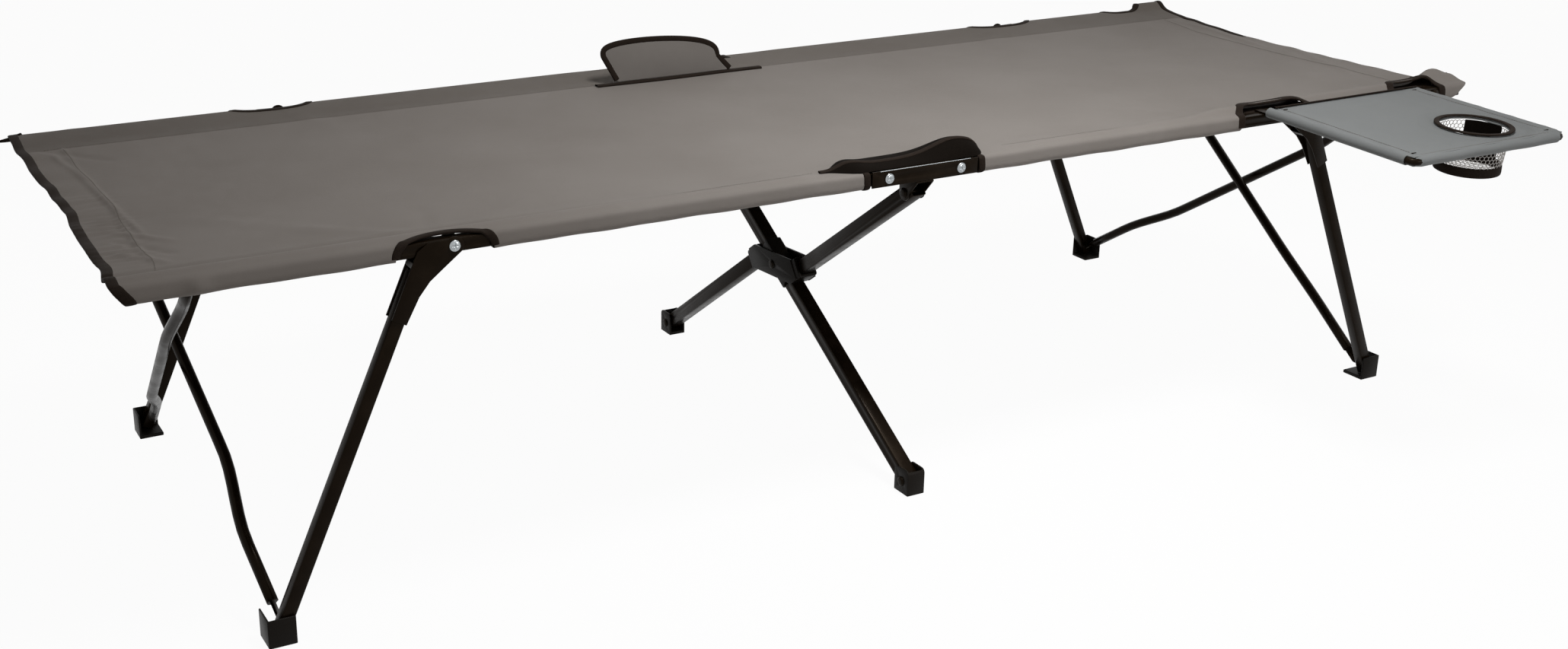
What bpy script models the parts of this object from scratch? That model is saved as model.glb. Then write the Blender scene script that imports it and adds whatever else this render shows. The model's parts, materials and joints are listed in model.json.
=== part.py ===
"""A folding camping cot with a side table, at its real size, standing open on its feet.

Lengths are in metres. X runs along the bed, the near long side is at -Y, and the floor is Z = 0.
The cot folds in two ways. The crossed centre legs close like scissors and draw the rails together,
while the end legs swing in under the rails and the braces follow them. Each half of the bed also
swings up about its pins in the two centre hinge channels.
"""

import math

import bmesh
import bpy
from mathutils import Matrix, Vector

# Rails: square steel tubes, two halves to a side, joined by a hinge channel at the middle.
RAIL_Y = 0.317
RAIL_Z = 0.424
RAIL_SIDE = 0.016
RAIL_INNER_END = 0.034
RAIL_OUTER_END = 0.930
TUBE_WALL = 0.0012
TUBE_CORNER = 0.0022
GAP = 0.0003

# Centre hinge channels, open below, with a web above the butting rail ends.
CHANNEL_HALF_LENGTH = 0.077
CHANNEL_WALL = 0.002
CHANNEL_DROP = 0.0095
WEB_HALF_LENGTH = 0.040
PIN_X = 0.0525
PIN_RADIUS = 0.003
PIN_HEAD_RADIUS = 0.0065
PIN_HEAD_HEIGHT = 0.0026
HOLE_CLEARANCE = 0.0003

# End legs: a gusset turns on the rail and carries a square leg that slants outwards to its shoe.
KNUCKLE_X = 0.606
LEG_SIDE = 0.016
LEG_SLANT = math.radians(62.34)
FOOT_PIVOT_Z = 0.022
LEG_OFFSET = 0.0265
LEG_TOP = 0.0405
GUSSET_PLATE = 0.0016
GUSSET_CLEARANCE = 0.0004
GUSSET_LENGTH = 0.098
GUSSET_BOSS_RADIUS = 0.0105
SHOE_HALF_WIDTH = 0.016
SHOE_HEIGHT = 0.034
SHOE_WALL = 0.0024
SHOE_BASE = 0.005
SHOE_DEPTH_INSIDE = 0.024

# Braces: round tubes from each shoe up to the far end of the other rail.
BRACE_RADIUS = 0.007
BRACE_JOGGLE = 0.016
BRACE_FOOT_INSET = 0.0145
BRACE_RAIL_INSET = 0.0175
BRACE_TAB = 0.026
BRACE_TAB_THICKNESS = 0.003
BRACE_EYE_RADIUS = 0.006
BRACE_FOOT_EYE_RADIUS = 0.005
JOGGLE_START = 0.10
JOGGLE_END = 0.22
SWIVEL_PLATE = 0.002
SWIVEL_RADIUS = 0.009
SWIVEL_LUG = 0.0025
BRACE_PIN_RADIUS = 0.0024

# Centre legs: two square tubes in one plane. One is straight and passes through a moulded sleeve. The
# other is in two halves, which a moulded hub with two cheeks joins past either side of that sleeve.
CENTRE_LEG_SIDE = 0.020
CROSS_DROP = 0.030
CROSS_JOG = 0.0255
CROSS_TOP_EXTRA = 0.012
CROSS_SLEEVE_LENGTH = 0.070
CROSS_SLEEVE_WALL = 0.0022
HUB_CHEEK = 0.003
HUB_CHEEK_CLEARANCE = 0.0005
HUB_CHEEK_LAP = 0.018
HUB_BOSS_RADIUS = 0.0125
HUB_SOCKET_WALL = 0.0042
HUB_SOCKET_CORNER = 0.0035
HUB_SOCKET_LENGTH = 0.026
HUB_SOCKET_CLEARANCE = 0.001
HUB_END_WALL = 0.003
CENTRE_LEG_END = 0.005
CENTRE_FOOT_BASE = 0.0045
CENTRE_FOOT_EAR = 0.0025
CENTRE_FOOT_HALF_DEPTH = 0.015
CENTRE_FOOT_HEIGHT = 0.034
BRACKET_PLATE = 0.002

# Bed cloth: one sheet with a sleeve along each rail.
CLOTH = 0.002
CLOTH_HALF_LENGTH = 0.950
CLOTH_END_HOLLOW = 0.010
SLEEVE_START = 0.0797
SLEEVE_CUTS = {
    (-1, -1): [(0.552, 0.672)],
    (-1, 1): [(0.552, 0.672)],
    (1, -1): [(0.508, 0.672), (0.790, 0.905)],
    (1, 1): [(0.545, 0.672), (0.823, 0.900)],
}
SWIVEL_SLOT_HALF = 0.0100

# Padding flaps over the two centre hinges.
FLAP_THICKNESS = 0.0018
NEAR_FLAP_X = (-0.132, 0.094)
NEAR_FLAP_INNER_Y = -0.274
NEAR_FLAP_OUTER_Y = -0.322
NEAR_FLAP_LOW_RIDGE = 0.0045
NEAR_FLAP_HIGH_RIDGE = 0.0175
NEAR_FLAP_HIGH_X = 0.058
NEAR_FLAP_HIGH_HALF = 0.042
FAR_FLAP_X = (-0.134, 0.051)
FAR_FLAP_ARCH_X = (-0.153, 0.031)
FAR_FLAP_SHOULDERS = (0.037, 0.021)
FAR_FLAP_CROWN = 0.024
FAR_FLAP_BASE_Y = 0.240
FAR_FLAP_LEAN = 0.22

# Side table, hung on the near rail at the right end.
TABLE_X = (0.543, 0.813)
TABLE_INNER_Y = -0.3440
TABLE_INNER_Z = 0.4390
TABLE_REACH = 0.238
TABLE_DROOP = math.radians(2.2)
TABLE_ROD_RADIUS = 0.005
TABLE_CORNER = 0.009
TABLE_CLOTH = 0.0024
CUP_FROM_RIGHT = 0.081
CUP_FROM_OUTER = 0.070
CUP_RADIUS = 0.043
CUP_DEPTH = 0.052
CUP_TAPER = 0.004
CUP_WALL = 0.0016
CUP_FLANGE = 0.007
HOOK_INSET = 0.015
HOOK_WIDTH = 0.011
HOOK_PLATE = 0.002

# Sizes that follow from the ones above.
HALF_RAIL = RAIL_SIDE / 2
HALF_LEG = LEG_SIDE / 2
HALF_CENTRE_LEG = CENTRE_LEG_SIDE / 2
# The leg's lower corners swing just clear of the foot's base.
CENTRE_FOOT_PIVOT_Z = CENTRE_FOOT_BASE + math.hypot(CENTRE_LEG_END, HALF_CENTRE_LEG) + GUSSET_CLEARANCE
LEG_REACH = (RAIL_Z - FOOT_PIVOT_Z) / math.sin(LEG_SLANT)
CROSS_ANGLE = (math.pi - LEG_SLANT) / 2
PIVOT_Y = RAIL_Y - (BRACE_FOOT_INSET + BRACE_RAIL_INSET) / 2
CROSS_ARM = PIVOT_Y / math.sin(CROSS_ANGLE)
# The linkage stays closed through the whole fold when arm squared is leg reach times overhang.
OVERHANG = CROSS_ARM**2 / LEG_REACH
RAIL_END_X = KNUCKLE_X + OVERHANG
FOOT_X = KNUCKLE_X + LEG_REACH * math.cos(LEG_SLANT)
CROSS_TOP_Z = RAIL_Z - CROSS_DROP
CROSS_SLEEVE_HALF = HALF_CENTRE_LEG + GAP + CROSS_SLEEVE_WALL
HUB_HALF_WIDTH = CROSS_SLEEVE_HALF + HUB_CHEEK_CLEARANCE + HUB_CHEEK
CROSS_Z = CROSS_TOP_Z - CROSS_ARM * math.cos(CROSS_ANGLE)
CENTRE_FOOT_Y = (CROSS_Z - CENTRE_FOOT_PIVOT_Z) * math.tan(CROSS_ANGLE)
BRACE_LENGTH = LEG_REACH + OVERHANG
CLOTH_TOP = RAIL_Z + HALF_RAIL + GAP + CLOTH
SWIVEL_TILT = math.acos((OVERHANG - LEG_REACH) / BRACE_LENGTH)
CUP_X = TABLE_X[1] - CUP_FROM_RIGHT
CUP_REACH = TABLE_REACH - CUP_FROM_OUTER
HOOK_X = (TABLE_X[0] + HOOK_INSET, TABLE_X[1] - HOOK_INSET)
TABLE_OUTER_Y = TABLE_INNER_Y - TABLE_REACH * math.cos(TABLE_DROOP) - TABLE_ROD_RADIUS
# The bed is drawn about Y = 0, then moved so that the origin is below the middle of it all.
BED_SHIFT = -(TABLE_OUTER_Y + CENTRE_FOOT_Y + CENTRE_FOOT_HALF_DEPTH) / 2

STEEL = ("powder_coated_steel", (0.018, 0.016, 0.014), 0.38, 0.0)
PLASTIC = ("moulded_plastic", (0.022, 0.021, 0.020), 0.55, 0.0)
ZINC = ("zinc_plated_steel", (0.62, 0.62, 0.60), 0.28, 1.0)
CLOTH_GREY = ("grey_polyester_cloth", (0.125, 0.115, 0.108), 0.75, 0.0)
TABLE_GREY = ("blue_grey_polyester_cloth", (0.135, 0.145, 0.150), 0.75, 0.0)
NET = ("black_mesh_net", (0.03, 0.03, 0.03), 0.8, 0.0)
BINDING = ("black_binding", (0.018, 0.016, 0.016), 0.7, 0.0)

X, Y, Z = Vector((1, 0, 0)), Vector((0, 1, 0)), Vector((0, 0, 1))
SIDES = {-1: "near", 1: "far"}
ENDS = {-1: "left", 1: "right"}


def clear_scene():
    for obj in list(bpy.data.objects):
        bpy.data.objects.remove(obj)


def new_collection(name, hidden=False):
    collection = bpy.data.collections.new(name)
    bpy.context.scene.collection.children.link(collection)
    collection.hide_render = hidden
    return collection


def paint(name, colour, roughness, metallic):
    """One Principled material for each finish, shared by the pieces that have it."""
    found = bpy.data.materials.get(name)
    if found:
        return found
    made = bpy.data.materials.new(name)
    made.use_nodes = True
    shader = made.node_tree.nodes["Principled BSDF"]
    shader.inputs["Base Color"].default_value = (*colour, 1)
    shader.inputs["Roughness"].default_value = roughness
    shader.inputs["Metallic"].default_value = metallic
    return made


def axes(origin, across, up):
    """A frame at origin, with local X along across and local Z along up."""
    z = up.normalized()
    x = (across - across.dot(z) * z).normalized()
    frame = Matrix((x, z.cross(x), z)).transposed().to_4x4()
    frame.translation = origin
    return frame


def from_bmesh(name, shape):
    mesh = bpy.data.meshes.new(name)
    bmesh.ops.recalc_face_normals(shape, faces=shape.faces)
    shape.to_mesh(mesh)
    shape.free()
    return bpy.data.objects.new(name, mesh)


def box(name, size):
    shape = bmesh.new()
    bmesh.ops.create_cube(shape, size=1)
    bmesh.ops.scale(shape, vec=Vector(size), verts=shape.verts)
    return from_bmesh(name, shape)


def rod(name, radius, depth, sides=16):
    """A cylinder along local Z, centred on its origin."""
    shape = bmesh.new()
    bmesh.ops.create_cone(
        shape, cap_ends=True, segments=sides, radius1=radius, radius2=radius, depth=depth
    )
    return from_bmesh(name, shape)


def turned(name, profile, steps=16):
    """A profile of (radius, height) points, from top to bottom, turned about local Z."""
    shape = bmesh.new()
    points = [shape.verts.new((radius, 0, height)) for radius, height in profile]
    for first, second in zip(points, points[1:]):
        shape.edges.new((first, second))
    mesh = bpy.data.meshes.new(name)
    shape.to_mesh(mesh)
    shape.free()
    obj = bpy.data.objects.new(name, mesh)
    screw = obj.modifiers.new("turn", "SCREW")
    screw.steps = screw.render_steps = steps
    screw.use_merge_vertices = True
    screw.merge_threshold = 1e-5
    return obj


def as_mesh(obj):
    """Turns a curve object into a mesh object with welded caps."""
    CUTTERS.objects.link(obj)
    bpy.context.view_layer.update()
    graph = bpy.context.evaluated_depsgraph_get()
    mesh = bpy.data.meshes.new_from_object(obj.evaluated_get(graph))
    name = obj.name
    bpy.data.objects.remove(obj)
    shape = bmesh.new()
    shape.from_mesh(mesh)
    bpy.data.meshes.remove(mesh)
    bmesh.ops.remove_doubles(shape, verts=shape.verts, dist=1e-6)
    return from_bmesh(name, shape)


def outline(name, loops, thickness):
    """Flat loops in local XY, filled between them and extruded along local Z about z = 0."""
    curve = bpy.data.curves.new(name, "CURVE")
    curve.dimensions = "2D"
    curve.fill_mode = "BOTH"
    curve.extrude = thickness / 2
    for loop in loops:
        spline = curve.splines.new("POLY")
        spline.points.add(len(loop) - 1)
        spline.use_cyclic_u = True
        for point, (x, y) in zip(spline.points, loop):
            point.co = (x, y, 0, 1)
    return as_mesh(bpy.data.objects.new(name, curve))


def tube_along(name, points, radius, closed=False, bevel_steps=2):
    """A round tube or rod along a run of points."""
    curve = bpy.data.curves.new(name, "CURVE")
    curve.dimensions = "3D"
    curve.bevel_depth = radius
    curve.bevel_resolution = bevel_steps
    curve.use_fill_caps = True
    spline = curve.splines.new("POLY")
    spline.points.add(len(points) - 1)
    spline.use_cyclic_u = closed
    for point, place in zip(spline.points, points):
        point.co = (*place, 1)
    return as_mesh(bpy.data.objects.new(name, curve))


def arc(centre, radius, start, end, steps):
    """Points on a circle, with start and end in degrees."""
    angles = [math.radians(start + (end - start) * i / steps) for i in range(steps + 1)]
    return [(centre[0] + radius * math.cos(a), centre[1] + radius * math.sin(a)) for a in angles]


def rounded_square(side, radius, steps=2):
    inset = side / 2 - radius
    points = []
    for turn, (sx, sy) in enumerate(((1, 1), (-1, 1), (-1, -1), (1, -1))):
        points += arc((sx * inset, sy * inset), radius, turn * 90, turn * 90 + 90, steps)
    return points


def hollow_tube(name, side, wall, length):
    """A square tube along local Z, open at both ends."""
    inner_corner = max(TUBE_CORNER - wall, TUBE_CORNER / 4)
    loops = [rounded_square(side, TUBE_CORNER), rounded_square(side - 2 * wall, inner_corner)]
    return outline(name, loops, length)


def rivet(name, grip):
    """A domed pin along local Z that holds what is grip thick, centred on its origin."""
    half = grip / 2 + GAP
    dome = [
        (0, half + PIN_HEAD_HEIGHT),
        (PIN_HEAD_RADIUS * 0.62, half + PIN_HEAD_HEIGHT * 0.86),
        (PIN_HEAD_RADIUS * 0.92, half + PIN_HEAD_HEIGHT * 0.45),
        (PIN_HEAD_RADIUS, half),
        (PIN_RADIUS, half),
    ]
    return turned(name, dome + [(radius, -height) for radius, height in reversed(dome)])


def hide(obj, like=None):
    """Puts a cutter or a helper among the cutters, out of the finished part."""
    CUTTERS.objects.link(obj)
    obj.hide_render = True
    obj.display_type = "WIRE"
    if like is not None:
        obj.parent = like
        obj.matrix_parent_inverse = like.matrix_world.inverted()


def combine(obj, other, operation):
    hide(other)
    modifier = obj.modifiers.new(operation.lower(), "BOOLEAN")
    modifier.operation = operation
    modifier.solver = "EXACT"
    modifier.object = other


def cut_box(obj, low, high):
    low, high = Vector(low), Vector(high)
    cutter = box(f"{obj.name}_cutter", high - low)
    cutter.location = (low + high) / 2
    combine(obj, cutter, "DIFFERENCE")


def cut_hole(obj, centre, along, radius, depth, sides=12):
    cutter = rod(f"{obj.name}_hole", radius, depth, sides)
    cutter.matrix_world = axes(Vector(centre), Vector((0.3, 0.5, 0.8)), along)
    combine(obj, cutter, "DIFFERENCE")


def add(obj, finish, body, frame=None):
    """Puts a finished piece in the part, on its body, with its material."""
    if frame is not None:
        obj.matrix_world = frame
    PARTS.objects.link(obj)
    obj.data.materials.clear()
    obj.data.materials.append(paint(*finish))
    holder = BODIES[body]
    bpy.context.view_layer.update()
    obj.parent = holder
    obj.matrix_parent_inverse = holder.matrix_world.inverted()
    obj.data.shade_smooth()
    obj.data.set_sharp_from_angle(angle=math.radians(35))
    return obj


def pivot(body, place, parent=None):
    """An empty on a moving body's joint axis, which carries the body's pieces."""
    empty = bpy.data.objects.new(f"pivot_{body}", None)
    empty.empty_display_size = 0.02
    PARTS.objects.link(empty)
    empty.location = place
    bpy.context.view_layer.update()
    if parent:
        empty.parent = BODIES[parent]
        empty.matrix_parent_inverse = BODIES[parent].matrix_world.inverted()
        bpy.context.view_layer.update()
    BODIES[body] = empty


def make_pivots():
    pivot("foot_near", (0, -CENTRE_FOOT_Y, CENTRE_FOOT_PIVOT_Z))
    pivot("x_leg_a", (0, -CENTRE_FOOT_Y, CENTRE_FOOT_PIVOT_Z), "foot_near")
    pivot("x_leg_b", (0, 0, CROSS_Z), "x_leg_a")
    pivot("foot_far", (0, CENTRE_FOOT_Y, CENTRE_FOOT_PIVOT_Z), "x_leg_b")
    pivot("centre_near", (0, -PIVOT_Y, CROSS_TOP_Z), "x_leg_b")
    pivot("centre_far", (0, PIVOT_Y, CROSS_TOP_Z), "x_leg_a")
    for sy, side in SIDES.items():
        for sx, end in ENDS.items():
            place = f"{side}_{end}"
            pivot(f"rail_{place}", (sx * PIN_X, sy * RAIL_Y, RAIL_Z), f"centre_{side}")
            knuckle = (sx * KNUCKLE_X, sy * RAIL_Y, RAIL_Z)
            pivot(f"leg_{place}", knuckle, f"rail_{place}")
            rail_end = (sx * RAIL_END_X, sy * (RAIL_Y - BRACE_RAIL_INSET), RAIL_Z)
            pivot(f"swivel_{place}", rail_end, f"rail_{place}")
            other = f"{SIDES[-sy]}_{end}"
            pivot(f"brace_{other}", rail_end, f"swivel_{place}")
    table = ((TABLE_X[0] + TABLE_X[1]) / 2, TABLE_INNER_Y, TABLE_INNER_Z)
    pivot("table", table, "rail_near_right")


def make_rail(sx, sy, place):
    """One half of a side rail, drilled for its centre pin, its knuckle and its brace swivel."""
    rail = hollow_tube(f"rail_{place}", RAIL_SIDE, TUBE_WALL, RAIL_OUTER_END - RAIL_INNER_END)
    middle = (RAIL_OUTER_END + RAIL_INNER_END) / 2
    rail.matrix_world = axes(Vector((sx * middle, sy * RAIL_Y, RAIL_Z)), Y, X)
    for x in (PIN_X, KNUCKLE_X, RAIL_END_X):
        hole = (sx * x, sy * RAIL_Y, RAIL_Z)
        cut_hole(rail, hole, Y, PIN_RADIUS + HOLE_CLEARANCE, RAIL_SIDE * 2)
    add(rail, STEEL, f"rail_{place}", rail.matrix_world.copy())


def make_centre(sy, side):
    """A hinge channel with its two rail pins, and the bracket that hangs the centre leg from it."""
    body = f"centre_{side}"
    y = sy * RAIL_Y
    inside = HALF_RAIL + GUSSET_CLEARANCE
    outside = inside + CHANNEL_WALL
    top = RAIL_Z + outside
    bottom = RAIL_Z - CHANNEL_DROP
    channel = box(
        f"hinge_channel_{side}", (2 * CHANNEL_HALF_LENGTH, 2 * outside, top - bottom)
    )
    channel.location = (0, y, (top + bottom) / 2)
    past = 2 * CHANNEL_HALF_LENGTH
    cut_box(
        channel, (-past, y - inside, bottom - inside), (past, y + inside, RAIL_Z + inside)
    )
    for sx in ENDS:
        web_ends = sorted((sx * WEB_HALF_LENGTH, sx * past))
        cut_box(
            channel, (web_ends[0], y - inside, RAIL_Z), (web_ends[1], y + inside, top + inside)
        )
        centre = (sx * PIN_X, y, RAIL_Z)
        cut_hole(channel, centre, Y, PIN_RADIUS + HOLE_CLEARANCE, 4 * outside)
        pin = rivet(f"rail_pin_{side}_{ENDS[sx]}", 2 * outside)
        add(pin, ZINC, body, axes(Vector(centre), X, Y))
    add(channel, STEEL, body, Matrix.Translation(channel.location))

    ear_inside = HALF_CENTRE_LEG + GUSSET_CLEARANCE
    ear_outside = ear_inside + BRACKET_PLATE
    ear_radius = 0.010
    plate_top = bottom - GAP
    outer_y = RAIL_Y + outside
    inner_y = PIVOT_Y - ear_radius
    low = CROSS_TOP_Z
    profile = [(outer_y, plate_top), (inner_y, plate_top)]
    profile += arc((PIVOT_Y, low), ear_radius, 180, 360, 8)
    profile += [(outer_y, plate_top - BRACKET_PLATE)]
    bracket = outline(
        f"centre_leg_bracket_{side}", [[(sy * u, v) for u, v in profile]], 2 * ear_outside
    )
    bracket.matrix_world = axes(Vector((0, 0, 0)), Y, X)
    cut_box(bracket, (-ear_inside, -1, 0), (ear_inside, 1, plate_top - BRACKET_PLATE))
    hole = (0, sy * PIVOT_Y, low)
    cut_hole(bracket, hole, X, PIN_RADIUS + HOLE_CLEARANCE, 4 * ear_outside)
    add(bracket, STEEL, body, bracket.matrix_world.copy())
    pin = rivet(f"centre_leg_pin_{side}", 2 * ear_outside)
    add(pin, STEEL, body, axes(Vector(hole), Y, X))


def centre_pivots(sy):
    """The top pivot on the channel of side sy, the foot pivot on the other side, and the crossing."""
    top = Vector((0, sy * PIVOT_Y, CROSS_TOP_Z))
    foot = Vector((0, -sy * CENTRE_FOOT_Y, CENTRE_FOOT_PIVOT_Z))
    return top, foot, Vector((0, 0, CROSS_Z))


def add_centre_tube(name, body, start, end, holes):
    """A square tube from start to end, drilled along X at each of the holes."""
    tube = hollow_tube(name, CENTRE_LEG_SIDE, TUBE_WALL, (end - start).length)
    tube.matrix_world = axes((start + end) / 2, X, end - start)
    for place in holes:
        cut_hole(tube, place, X, PIN_RADIUS + HOLE_CLEARANCE, 2 * CENTRE_LEG_SIDE)
    add(tube, STEEL, body, tube.matrix_world.copy())


def make_straight_leg():
    """The centre leg from the far channel to the near foot, with a moulded sleeve at the crossing."""
    top, foot, crossing = centre_pivots(1)
    down = (foot - top).normalized()
    start, end = top - down * CROSS_TOP_EXTRA, foot + down * CENTRE_LEG_END
    add_centre_tube("centre_leg_to_near_foot", "x_leg_a", start, end, (top, foot, crossing))

    inner = CENTRE_LEG_SIDE + 2 * GAP
    outer = 2 * CROSS_SLEEVE_HALF
    loops = [rounded_square(outer, TUBE_CORNER * 1.5), rounded_square(inner, TUBE_CORNER)]
    sleeve = outline("cross_sleeve", loops, CROSS_SLEEVE_LENGTH)
    sleeve.matrix_world = axes(crossing, X, down)
    cut_hole(sleeve, crossing, X, PIN_RADIUS + HOLE_CLEARANCE, 2 * outer)
    add(sleeve, PLASTIC, "x_leg_a", sleeve.matrix_world.copy())


def make_jogged_leg():
    """The centre leg from the near channel to the far foot: two halves and the hub between them."""
    top, foot, crossing = centre_pivots(-1)
    straight_top, straight_foot, _ = centre_pivots(1)
    straight = (straight_foot - straight_top).normalized()
    halves = (
        ("centre_leg_from_near_channel", top, CROSS_TOP_EXTRA),
        ("centre_leg_to_far_foot", foot, CENTRE_LEG_END),
    )
    socket_half = HALF_CENTRE_LEG + GAP + HUB_SOCKET_WALL
    sockets, corners = [], []
    for name, end_pivot, extra in halves:
        arm = crossing - end_pivot
        lean = math.asin(CROSS_JOG / arm.length)
        inward = Matrix.Rotation(-lean, 3, "X") @ arm.normalized()
        nearest = end_pivot + inward * math.sqrt(arm.length**2 - CROSS_JOG**2)
        # The socket's square end stops just short of the straight leg's sleeve.
        cosine = abs(inward.dot(straight))
        clear = CROSS_SLEEVE_HALF + HUB_SOCKET_CLEARANCE + (CROSS_JOG + socket_half) * cosine
        stop = nearest - inward * clear / math.sqrt(1 - cosine**2)
        mouth = stop - inward * HUB_SOCKET_LENGTH
        seat = stop - inward * HUB_END_WALL
        add_centre_tube(name, "x_leg_b", end_pivot - inward * extra, seat - inward * GAP, [end_pivot])

        square = rounded_square(2 * socket_half, HUB_SOCKET_CORNER)
        socket = outline(f"{name}_socket", [square], HUB_SOCKET_LENGTH)
        socket.matrix_world = axes((mouth + stop) / 2, X, inward)
        sockets.append((socket, seat, inward))
        across = X.cross(inward) * socket_half
        lap = stop - inward * HUB_CHEEK_LAP
        corners += [stop - across, lap - across, lap + across]

    plate = [(corner.y, corner.z) for corner in corners]
    cheek_inside = CROSS_SLEEVE_HALF + HUB_CHEEK_CLEARANCE
    hub = outline("cross_hub", [plate], 2 * HUB_HALF_WIDTH)
    hub.matrix_world = axes(Vector((0, 0, 0)), Y, X)
    boss = rod("cross_hub_boss", HUB_BOSS_RADIUS, 2 * HUB_HALF_WIDTH, 24)
    boss.matrix_world = axes(crossing, Y, X)
    combine(hub, boss, "UNION")
    cut_box(hub, (-cheek_inside, -1, 0), (cheek_inside, 1, 1))
    for socket, _, _ in sockets:
        combine(hub, socket, "UNION")
    for _, seat, inward in sockets:
        inner = CENTRE_LEG_SIDE + 2 * GAP
        bore = box("cross_hub_bore", (inner, inner, 2 * HUB_SOCKET_LENGTH))
        bore.matrix_world = axes(seat - inward * HUB_SOCKET_LENGTH, X, inward)
        combine(hub, bore, "DIFFERENCE")
    cut_hole(hub, crossing, X, PIN_RADIUS + HOLE_CLEARANCE, 4 * HUB_HALF_WIDTH)
    add(hub, PLASTIC, "x_leg_b", hub.matrix_world.copy())
    pin = rivet("cross_pin", 2 * HUB_HALF_WIDTH)
    add(pin, STEEL, "x_leg_a", axes(crossing, Y, X))


def make_centre_foot(sy, side, body):
    """The forked foot on side sy, which turns on the end of its leg and stays flat on the floor."""
    y = sy * CENTRE_FOOT_Y
    inside = HALF_CENTRE_LEG + GUSSET_CLEARANCE
    outside = inside + CENTRE_FOOT_EAR
    corner = 0.006
    width = CENTRE_FOOT_HALF_DEPTH
    height = CENTRE_FOOT_HEIGHT
    profile = [(-width, 0), (width, 0)]
    profile += arc((width - corner, height - corner), corner, 0, 90, 4)
    profile += arc((corner - width, height - corner), corner, 90, 180, 4)
    foot = outline(f"centre_foot_{side}", [profile], 2 * outside)
    foot.matrix_world = axes(Vector((0, y, 0)), Y, X)
    ys = sorted((y - sy * 2 * width, y + sy * (width - SHOE_WALL)))
    cut_box(foot, (-inside, ys[0], CENTRE_FOOT_BASE), (inside, ys[1], 2 * height))
    hole = (0, y, CENTRE_FOOT_PIVOT_Z)
    cut_hole(foot, hole, X, PIN_RADIUS + HOLE_CLEARANCE, 4 * outside)
    add(foot, PLASTIC, body, foot.matrix_world.copy())
    pin = rivet(f"centre_foot_pin_{side}", 2 * outside)
    add(pin, STEEL, body, axes(Vector(hole), Y, X))


def make_end_leg(sx, sy, place):
    """A gusset on the rail, its square leg and the shoe at the bottom, all one moving body."""
    body = f"leg_{place}"
    y = sy * RAIL_Y
    knuckle = Vector((sx * KNUCKLE_X, y, RAIL_Z))
    along = Vector((sx * math.cos(LEG_SLANT), 0, -math.sin(LEG_SLANT)))
    outward = Vector((sx * math.sin(LEG_SLANT), 0, math.cos(LEG_SLANT)))
    inside = HALF_LEG + GUSSET_CLEARANCE
    outside = inside + GUSSET_PLATE
    drift = LEG_OFFSET / (LEG_REACH - LEG_TOP)

    def leg_line(distance):
        return LEG_OFFSET - (distance - LEG_TOP) * drift

    edge = HALF_LEG + 0.001
    inner_edge, outer_edge = leg_line(GUSSET_LENGTH) - edge, leg_line(GUSSET_LENGTH) + edge
    profile = [
        (GUSSET_LENGTH, inner_edge),
        (GUSSET_LENGTH, outer_edge),
        (LEG_TOP / 2, leg_line(LEG_TOP / 2) + edge),
        (LEG_TOP / 6, leg_line(0)),
    ]
    profile += arc((0, 0), GUSSET_BOSS_RADIUS, 105, 285, 9)
    profile += [
        (GUSSET_LENGTH * 0.28, inner_edge - 0.0125),
        (GUSSET_LENGTH * 0.46, inner_edge - 0.0045),
        (GUSSET_LENGTH * 0.66, inner_edge - 0.0005),
    ]
    gusset = outline(f"gusset_{place}", [profile], 2 * outside)
    frame = Matrix((along, outward, along.cross(outward))).transposed().to_4x4()
    frame.translation = knuckle
    gusset.matrix_world = frame
    spacer = (LEG_TOP - 0.0075, LEG_TOP - 0.0013)
    for start, stop in ((-0.03, spacer[0]), (spacer[1], GUSSET_LENGTH + 0.01)):
        slot = box(f"{gusset.name}_slot", (stop - start, 0.2, 2 * inside))
        slot.matrix_world = frame @ Matrix.Translation(((start + stop) / 2, 0, 0))
        combine(gusset, slot, "DIFFERENCE")
    cut_hole(gusset, knuckle, Y, PIN_RADIUS + HOLE_CLEARANCE, 4 * outside)
    add(gusset, STEEL, body, frame)
    pin = rivet(f"knuckle_rivet_{place}", 2 * outside)
    add(pin, ZINC, body, axes(knuckle, X, Y))

    top = knuckle + along * LEG_TOP + outward * LEG_OFFSET
    foot = knuckle + along * LEG_REACH
    down = (foot - top).normalized()
    side_drop = HALF_LEG * math.sqrt(1 - down.z**2)
    end_z = SHOE_BASE + GAP + side_drop
    length = (top.z - end_z) / -down.z
    leg = hollow_tube(f"end_leg_{place}", LEG_SIDE, TUBE_WALL, length)
    add(leg, STEEL, body, axes(top + down * length / 2, Y, down))

    foot_x = foot.x + sx * HALF_LEG / 2
    front = HALF_LEG + GUSSET_CLEARANCE
    ys = sorted((y + sy * (front + SHOE_WALL), y - sy * SHOE_DEPTH_INSIDE))
    shoe = box(f"shoe_{place}", (2 * SHOE_HALF_WIDTH, ys[1] - ys[0], SHOE_HEIGHT))
    shoe.location = (foot_x, sum(ys) / 2, SHOE_HEIGHT / 2)
    outer_wall = foot_x + sx * (SHOE_HALF_WIDTH - SHOE_WALL)
    xs = sorted((outer_wall, foot_x - sx * 2 * SHOE_HALF_WIDTH))
    inner_ys = sorted((y + sy * front, y - sy * 0.1))
    cut_box(shoe, (xs[0], inner_ys[0], SHOE_BASE), (xs[1], inner_ys[1], 2 * SHOE_HEIGHT))
    add(shoe, PLASTIC, body, Matrix.Translation(shoe.location))


def brace_ends(sx, sy):
    """The rail end and the foot end of the brace that hangs from the rail at sx, sy."""
    rail_end = Vector((sx * RAIL_END_X, sy * (RAIL_Y - BRACE_RAIL_INSET), RAIL_Z))
    foot_end = Vector((sx * FOOT_X, -sy * (RAIL_Y - BRACE_FOOT_INSET), FOOT_PIVOT_Z))
    return rail_end, foot_end


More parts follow.
